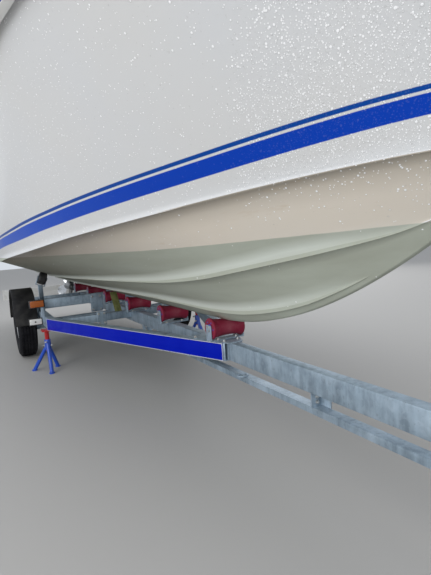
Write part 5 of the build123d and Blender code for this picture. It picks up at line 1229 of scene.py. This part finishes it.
# The rear lamp board is white plastic with a lamp cluster on each end: red, amber and clear lenses with ribs
# inside, a red triangle beside each, and a blank plate between the two holes.
board_white = Finish("lamp_board", (0.68, 0.68, 0.66), 0.35)
board_white.soil(0.5, (0.68, 0.68, 0.66), (0.42, 0.39, 0.34), 14.0, (0.5, 0.75), (0.3, 0.3), detail=7.0)
eased("lamp_board", board_white, "lamp_plastic", bevel=0.004)
lens_glass = Finish("lamp_lenses", (0.5, 0.1, 0.02), 0.12, Coat_Weight=0.5)
x, y, z = lens_glass.parts(lens_glass.place)
rear = x < -3.0
ends = abs(y)
amber, red, clear = (0.36, 0.085, 0.006), (0.42, 0.006, 0.008), (0.70, 0.70, 0.68)
rear_colour = lens_glass.mix(ends > 0.80, lens_glass.mix(ends > 0.72, clear, red), amber)
front_colour = lens_glass.mix(z > 0.5, clear, amber)
lens_glass.set(Base_Color=lens_glass.mix(rear, front_colour, rear_colour),
               Roughness=0.1 + lens_glass.noise(30.0) * 0.12)
ribs = lens_glass.node("ShaderNodeTexWave", {"bands_direction": "Z"}, {"Vector": lens_glass.place, "Scale": 75.0})
lens_glass.bump(ribs, 0.0012, 0.7)
eased("lamps", lens_glass, "lamp_lens", bevel=0.005, segments=4)
housings = []
for side in (1, -1):
    housings.append(block((0.008, 0.128, 0.068), at(-1986.5, side * 773, 587.5)))
    housings.append(block((0.005, 0.112, 0.062), at(-1988, side * 797, 434)))
    housings.append(block((0.010, 0.262, 0.138), at(-5156, side * 760, 425)))
joined("lamp_housings", housings, dark, "lamp_lens", "lamps", bevel=0.0018)
dot = [round_bar(at(-1977, side * 800, 434), at(-1974, side * 800, 434), 0.007, 20) for side in (1, -1)]
joined("marker_dots", dot, dark, "lamp_lens", "lamps", bevel=0.0006)
red_glass = Finish("triangle_red", (0.48, 0.006, 0.008), 0.2, Coat_Weight=0.4)
red_glass.bump(red_glass.cells(260.0, chaos=0.0), 0.0008, 0.8)
triangles = []
for side in (1, -1):
    bpy.ops.object.select_all(action="DESELECT")
    bpy.ops.mesh.primitive_cylinder_add(vertices=3, radius=0.055, depth=0.007, location=at(-5162, side * 560, 418))
    triangle = bpy.context.object
    triangle.rotation_euler = (math.pi / 2, 0, math.pi / 2)
    triangles.append(triangle)
joined("rear_triangles", triangles, red_glass, "lamp_plastic", "lamp_board", bevel=0.0015)
plate_paint = Finish("blank_plate", (0.66, 0.66, 0.64), 0.35)
plate_paint.set(Roughness=0.3 + plate_paint.noise(20.0) * 0.2)
plate = [block((0.002, 0.52, 0.11), at(-5161.5, 0, 425))]
joined("blank_plate", plate, plate_paint, "lamp_plastic", "lamp_board", bevel=0.0008)
screws = [part for across in (230, -230) for part in hex_bolt(at(-5162.5, across, 425), AFT, 0.6)]
joined("plate_screws", screws, bright, "lamp_plastic", "lamp_board", bevel=0.0004)


# The coupling is a cast and pressed steel head with a plastic grip, a rubber bellows on its shaft and the
# handbrake lever. The winch has a toothed gear, a crank with a turned grip and the strap rolled on its drum.
cast = Finish("cast_steel", (0.10, 0.10, 0.105), 0.5, 0.5)
cast.soil(1, (0.09, 0.09, 0.095), (0.22, 0.17, 0.12), 20.0, (0.5, 0.72), (0.42, 0.25), 34.0, detail=7.0)
cast.grain(150.0, 0.0004, 0.6, detail=4.0)
eased("coupling", cast, "cast_steel", bevel=0.003, angle=40, segments=3)
bellows = [ring(at(along, 0, 430.5), (1, 0, 0), 0.031, 0.0062, 36, 10) for along in range(2772, 2845, 9)]
joined("coupling_bellows", bellows, black, "cast_steel", "coupling")
grips = [round_bar(at(2775, 0, 547), at(2752, 0, 557), 0.0165, 24, 0.015),
         round_bar(at(2440, -38, 696), at(2398, -38, 755), 0.0165, 24, 0.0155)]
joined("coupling_grips", grips, dark, "cast_steel", "coupling", bevel=0.003)
TEETH = 32
winch_at, drum_axis = at(1790, 0, 1090), Vector((0, 1, 0))
strap_roll = disc(winch_at, drum_axis, -0.026, 0.026, 0.0355, 48)
joined("winch_coil", [strap_roll], webbing, "webbing", "winch", bevel=0.0015)
gear_at = winch_at + drum_axis * 0.052
teeth = [disc(gear_at, drum_axis, -0.003, 0.003, 0.05, 48)]
for k in range(TEETH):
    angle = 2 * math.pi * k / TEETH
    teeth.append(block((0.006, 0.006, 0.005), gear_at + spoke(angle, 0.0515), (0, -angle, 0)))
joined("winch_gear", teeth, bright, "galvanised", "winch", bevel=0.0005)
knob_at = at(1790, 96, 1315)
knob = [disc(knob_at, drum_axis, 0, 0.086, 0.0165, 28, 0.015),
        ball(knob_at + drum_axis * 0.085, 0.0155, (1, 0.5, 1))]
joined("winch_grip", knob, dark, "galvanised", "winch", bevel=0.002)


# The jockey wheel is solid rubber on a pressed steel centre, and a crank handle on top of its tube screws it up
# and down.
eased("jockey_wheel", black, "black_rubber", bevel=0.003, angle=28)
wheel_at = at(2388, 100, 110)
centre = []
for side in (1, -1):
    out = Vector((0, side, 0))
    centre.append(disc(wheel_at + out * 0.026, out, 0, 0.0025, 0.066, 40, 0.062))
    centre.append(disc(wheel_at + out * 0.026, out, 0, 0.0055, 0.02, 24, 0.018))
joined("jockey_centre", centre, silver_paint, "black_rubber", "jockey_wheel", bevel=0.001)
crank_at = at(2552, 100, 818)
crank = [disc(crank_at, UP, 0, 0.068, 0.012, 24, 0.0105), disc(crank_at, UP, 0.066, 0.072, 0.0125, 24, 0.009)]
joined("jockey_grip", crank, dark, "galvanised", "jockey_tube", bevel=0.002)


# The cushions are foam in off-white marine vinyl. Each panel swells between its sewn seams and channels, and a
# thin blue piping is sewn into the seam round its face.
vinyl = Finish("seat_vinyl", (0.66, 0.65, 0.61), 0.45, Coat_Weight=0.15)
vinyl.soil(0.6, (0.67, 0.66, 0.62), (0.50, 0.48, 0.43), 8.0, (0.45, 0.75), (0.38, 0.2), detail=6.0)
vinyl.bump(vinyl.cells(420.0) * 0.6 + vinyl.noise(60.0, detail=4.0) * 0.4, 0.0007, 0.5)
piping_blue = Finish("piping", (0.008, 0.07, 0.36), 0.4)
piping_blue.grain(160.0, 0.0002, 0.4)
INSET, CORNER, SWELL, PIPING = 0.012, 0.02, 0.016, 0.0042
PRESSURE, FRAMES, PIPING_STEPS = 4, 20, 40


def cushion(name, low, high, node, face, channels, voxel):
    """A stuffed cushion between two corners. face is the crowned side's axis, channels are (axis, place) seams."""
    low, high, inset = Vector(low), Vector(high), Vector([INSET] * 3)
    inner_low, inner_high = low + inset, high - inset
    piece = block(high - low - inset * 2, (low + high) / 2)
    bpy.ops.object.transform_apply(location=True, rotation=True, scale=True)
    rounding = piece.modifiers.new("round", "BEVEL")
    rounding.width, rounding.segments = CORNER, 4
    bpy.ops.object.modifier_apply(modifier="round")
    grid = piece.modifiers.new("even", "REMESH")
    grid.mode, grid.voxel_size = "VOXEL", voxel
    bpy.ops.object.modifier_apply(modifier="even")
    edge = CORNER * 0.293            # from a flat face to the middle of a rounded corner
    main = 2 if face == "z" else 0
    others = [axis for axis in range(3) if axis != main]
    sewn = piece.vertex_groups.new(name="sewn")
    for vertex in piece.data.vertices:
        near = [min(vertex.co[axis] - inner_low[axis], inner_high[axis] - vertex.co[axis]) for axis in range(3)]
        on_seam = max(near[main], min(near[axis] for axis in others)) < edge + voxel * 0.7
        on_channel = any(abs(vertex.co[axis] - spot) < voxel * 0.6 for axis, spot in channels)
        if on_seam or (near[main] < voxel * 0.8 and on_channel):
            sewn.add([vertex.index], 1.0, "REPLACE")
    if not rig.quick():
        start = [vertex.co.copy() for vertex in piece.data.vertices]
        cloth = piece.modifiers.new("swell", "CLOTH")
        cloth.settings.quality = 4
        cloth.settings.mass = 0.3
        cloth.settings.use_pressure = True
        cloth.settings.uniform_pressure_force = PRESSURE
        cloth.settings.effector_weights.gravity = 0
        cloth.settings.vertex_group_mass = "sewn"
        cloth.point_cache.frame_start, cloth.point_cache.frame_end = 1, FRAMES
        for step in range(1, FRAMES + 1):
            bpy.context.scene.frame_set(step)
        swollen = piece.evaluated_get(bpy.context.evaluated_depsgraph_get())
        ends = [vertex.co.copy() for vertex in swollen.data.vertices]
        piece.modifiers.remove(cloth)
        for vertex, first, last in zip(piece.data.vertices, start, ends):
            move = last - first
            vertex.co = first + move * min(1, SWELL / max(move.length, 1e-6))
        bpy.context.scene.frame_set(1)
    only(piece)
    fine = piece.modifiers.new("fine", "SUBSURF")
    fine.levels = fine.render_levels = 1
    bpy.ops.object.modifier_apply(modifier="fine")
    piece.name = piece.data.name = name
    bpy.ops.object.shade_smooth()
    coat(piece, vinyl)
    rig.ride(piece, body_of(node))
    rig.replaces(piece, node)
    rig.slot(piece, "seat_vinyl")
    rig.padded(piece, fill=0.75)
    runs = []
    levels = [inner_high[main] - edge] if face == "z" else [inner_low[main] + edge, inner_high[main] - edge]
    for level in levels:             # what lies flat is piped round its top alone
        loop = []
        for k in range(PIPING_STEPS):
            turn = 2 * math.pi * (k + 0.25) / PIPING_STEPS
            spot = Vector()
            spot[main] = level
            for axis, part in zip(others, (math.cos(turn), math.sin(turn))):
                half = (inner_high[axis] - inner_low[axis]) / 2 - edge
                middle = (inner_high[axis] + inner_low[axis]) / 2
                spot[axis] = middle + math.copysign(half - CORNER, part) + CORNER * part
            loop.append(spot)
        runs.append(tube(loop, PIPING, closed=True))
    joined(name + "_piping", runs, piping_blue, "seat_vinyl", node)


sun_low, sun_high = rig.box("sun_pad")
cushion("sun_pad_finished", sun_low, sun_high, "sun_pad", "z",
        [(1, y_at) for y_at in (-0.3, 0.0, 0.3)] + [(0, (sun_low.x + sun_high.x) / 2)], 0.009)
cushion("bench_seat", at(-3345, -840, 1380.3), at(-2955, 840, 1480), "cockpit_cushions", "z",
        [(1, y_at) for y_at in (-0.42, 0.0, 0.42)], 0.009)
cushion("bench_back", at(-3440, -840, 1470.3), at(-3355, 840, 1730), "cockpit_cushions", "x",
        [(1, y_at) for y_at in (-0.42, 0.0, 0.42)], 0.009)
for label, side in (("port", 1), ("starboard", -1)):
    cushion(f"{label}_seat", at(-2380, side * 480 - 235, 1500.3), at(-1900, side * 480 + 235, 1620),
            "cockpit_cushions", "z", [(0, V_AT - 2.28 + 0.12 * k) for k in range(4)], 0.007)
    cushion(f"{label}_seat_back", at(-2380, side * 480 - 235, 1620.6), at(-2280, side * 480 + 235, 2020),
            "cockpit_cushions", "x", [(2, 1.72 + 0.1 * k) for k in range(3)], 0.007)


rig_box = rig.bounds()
json.dump([[list(corner) for corner in box] for box in (cad_box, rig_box)], open("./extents.json", "w"))
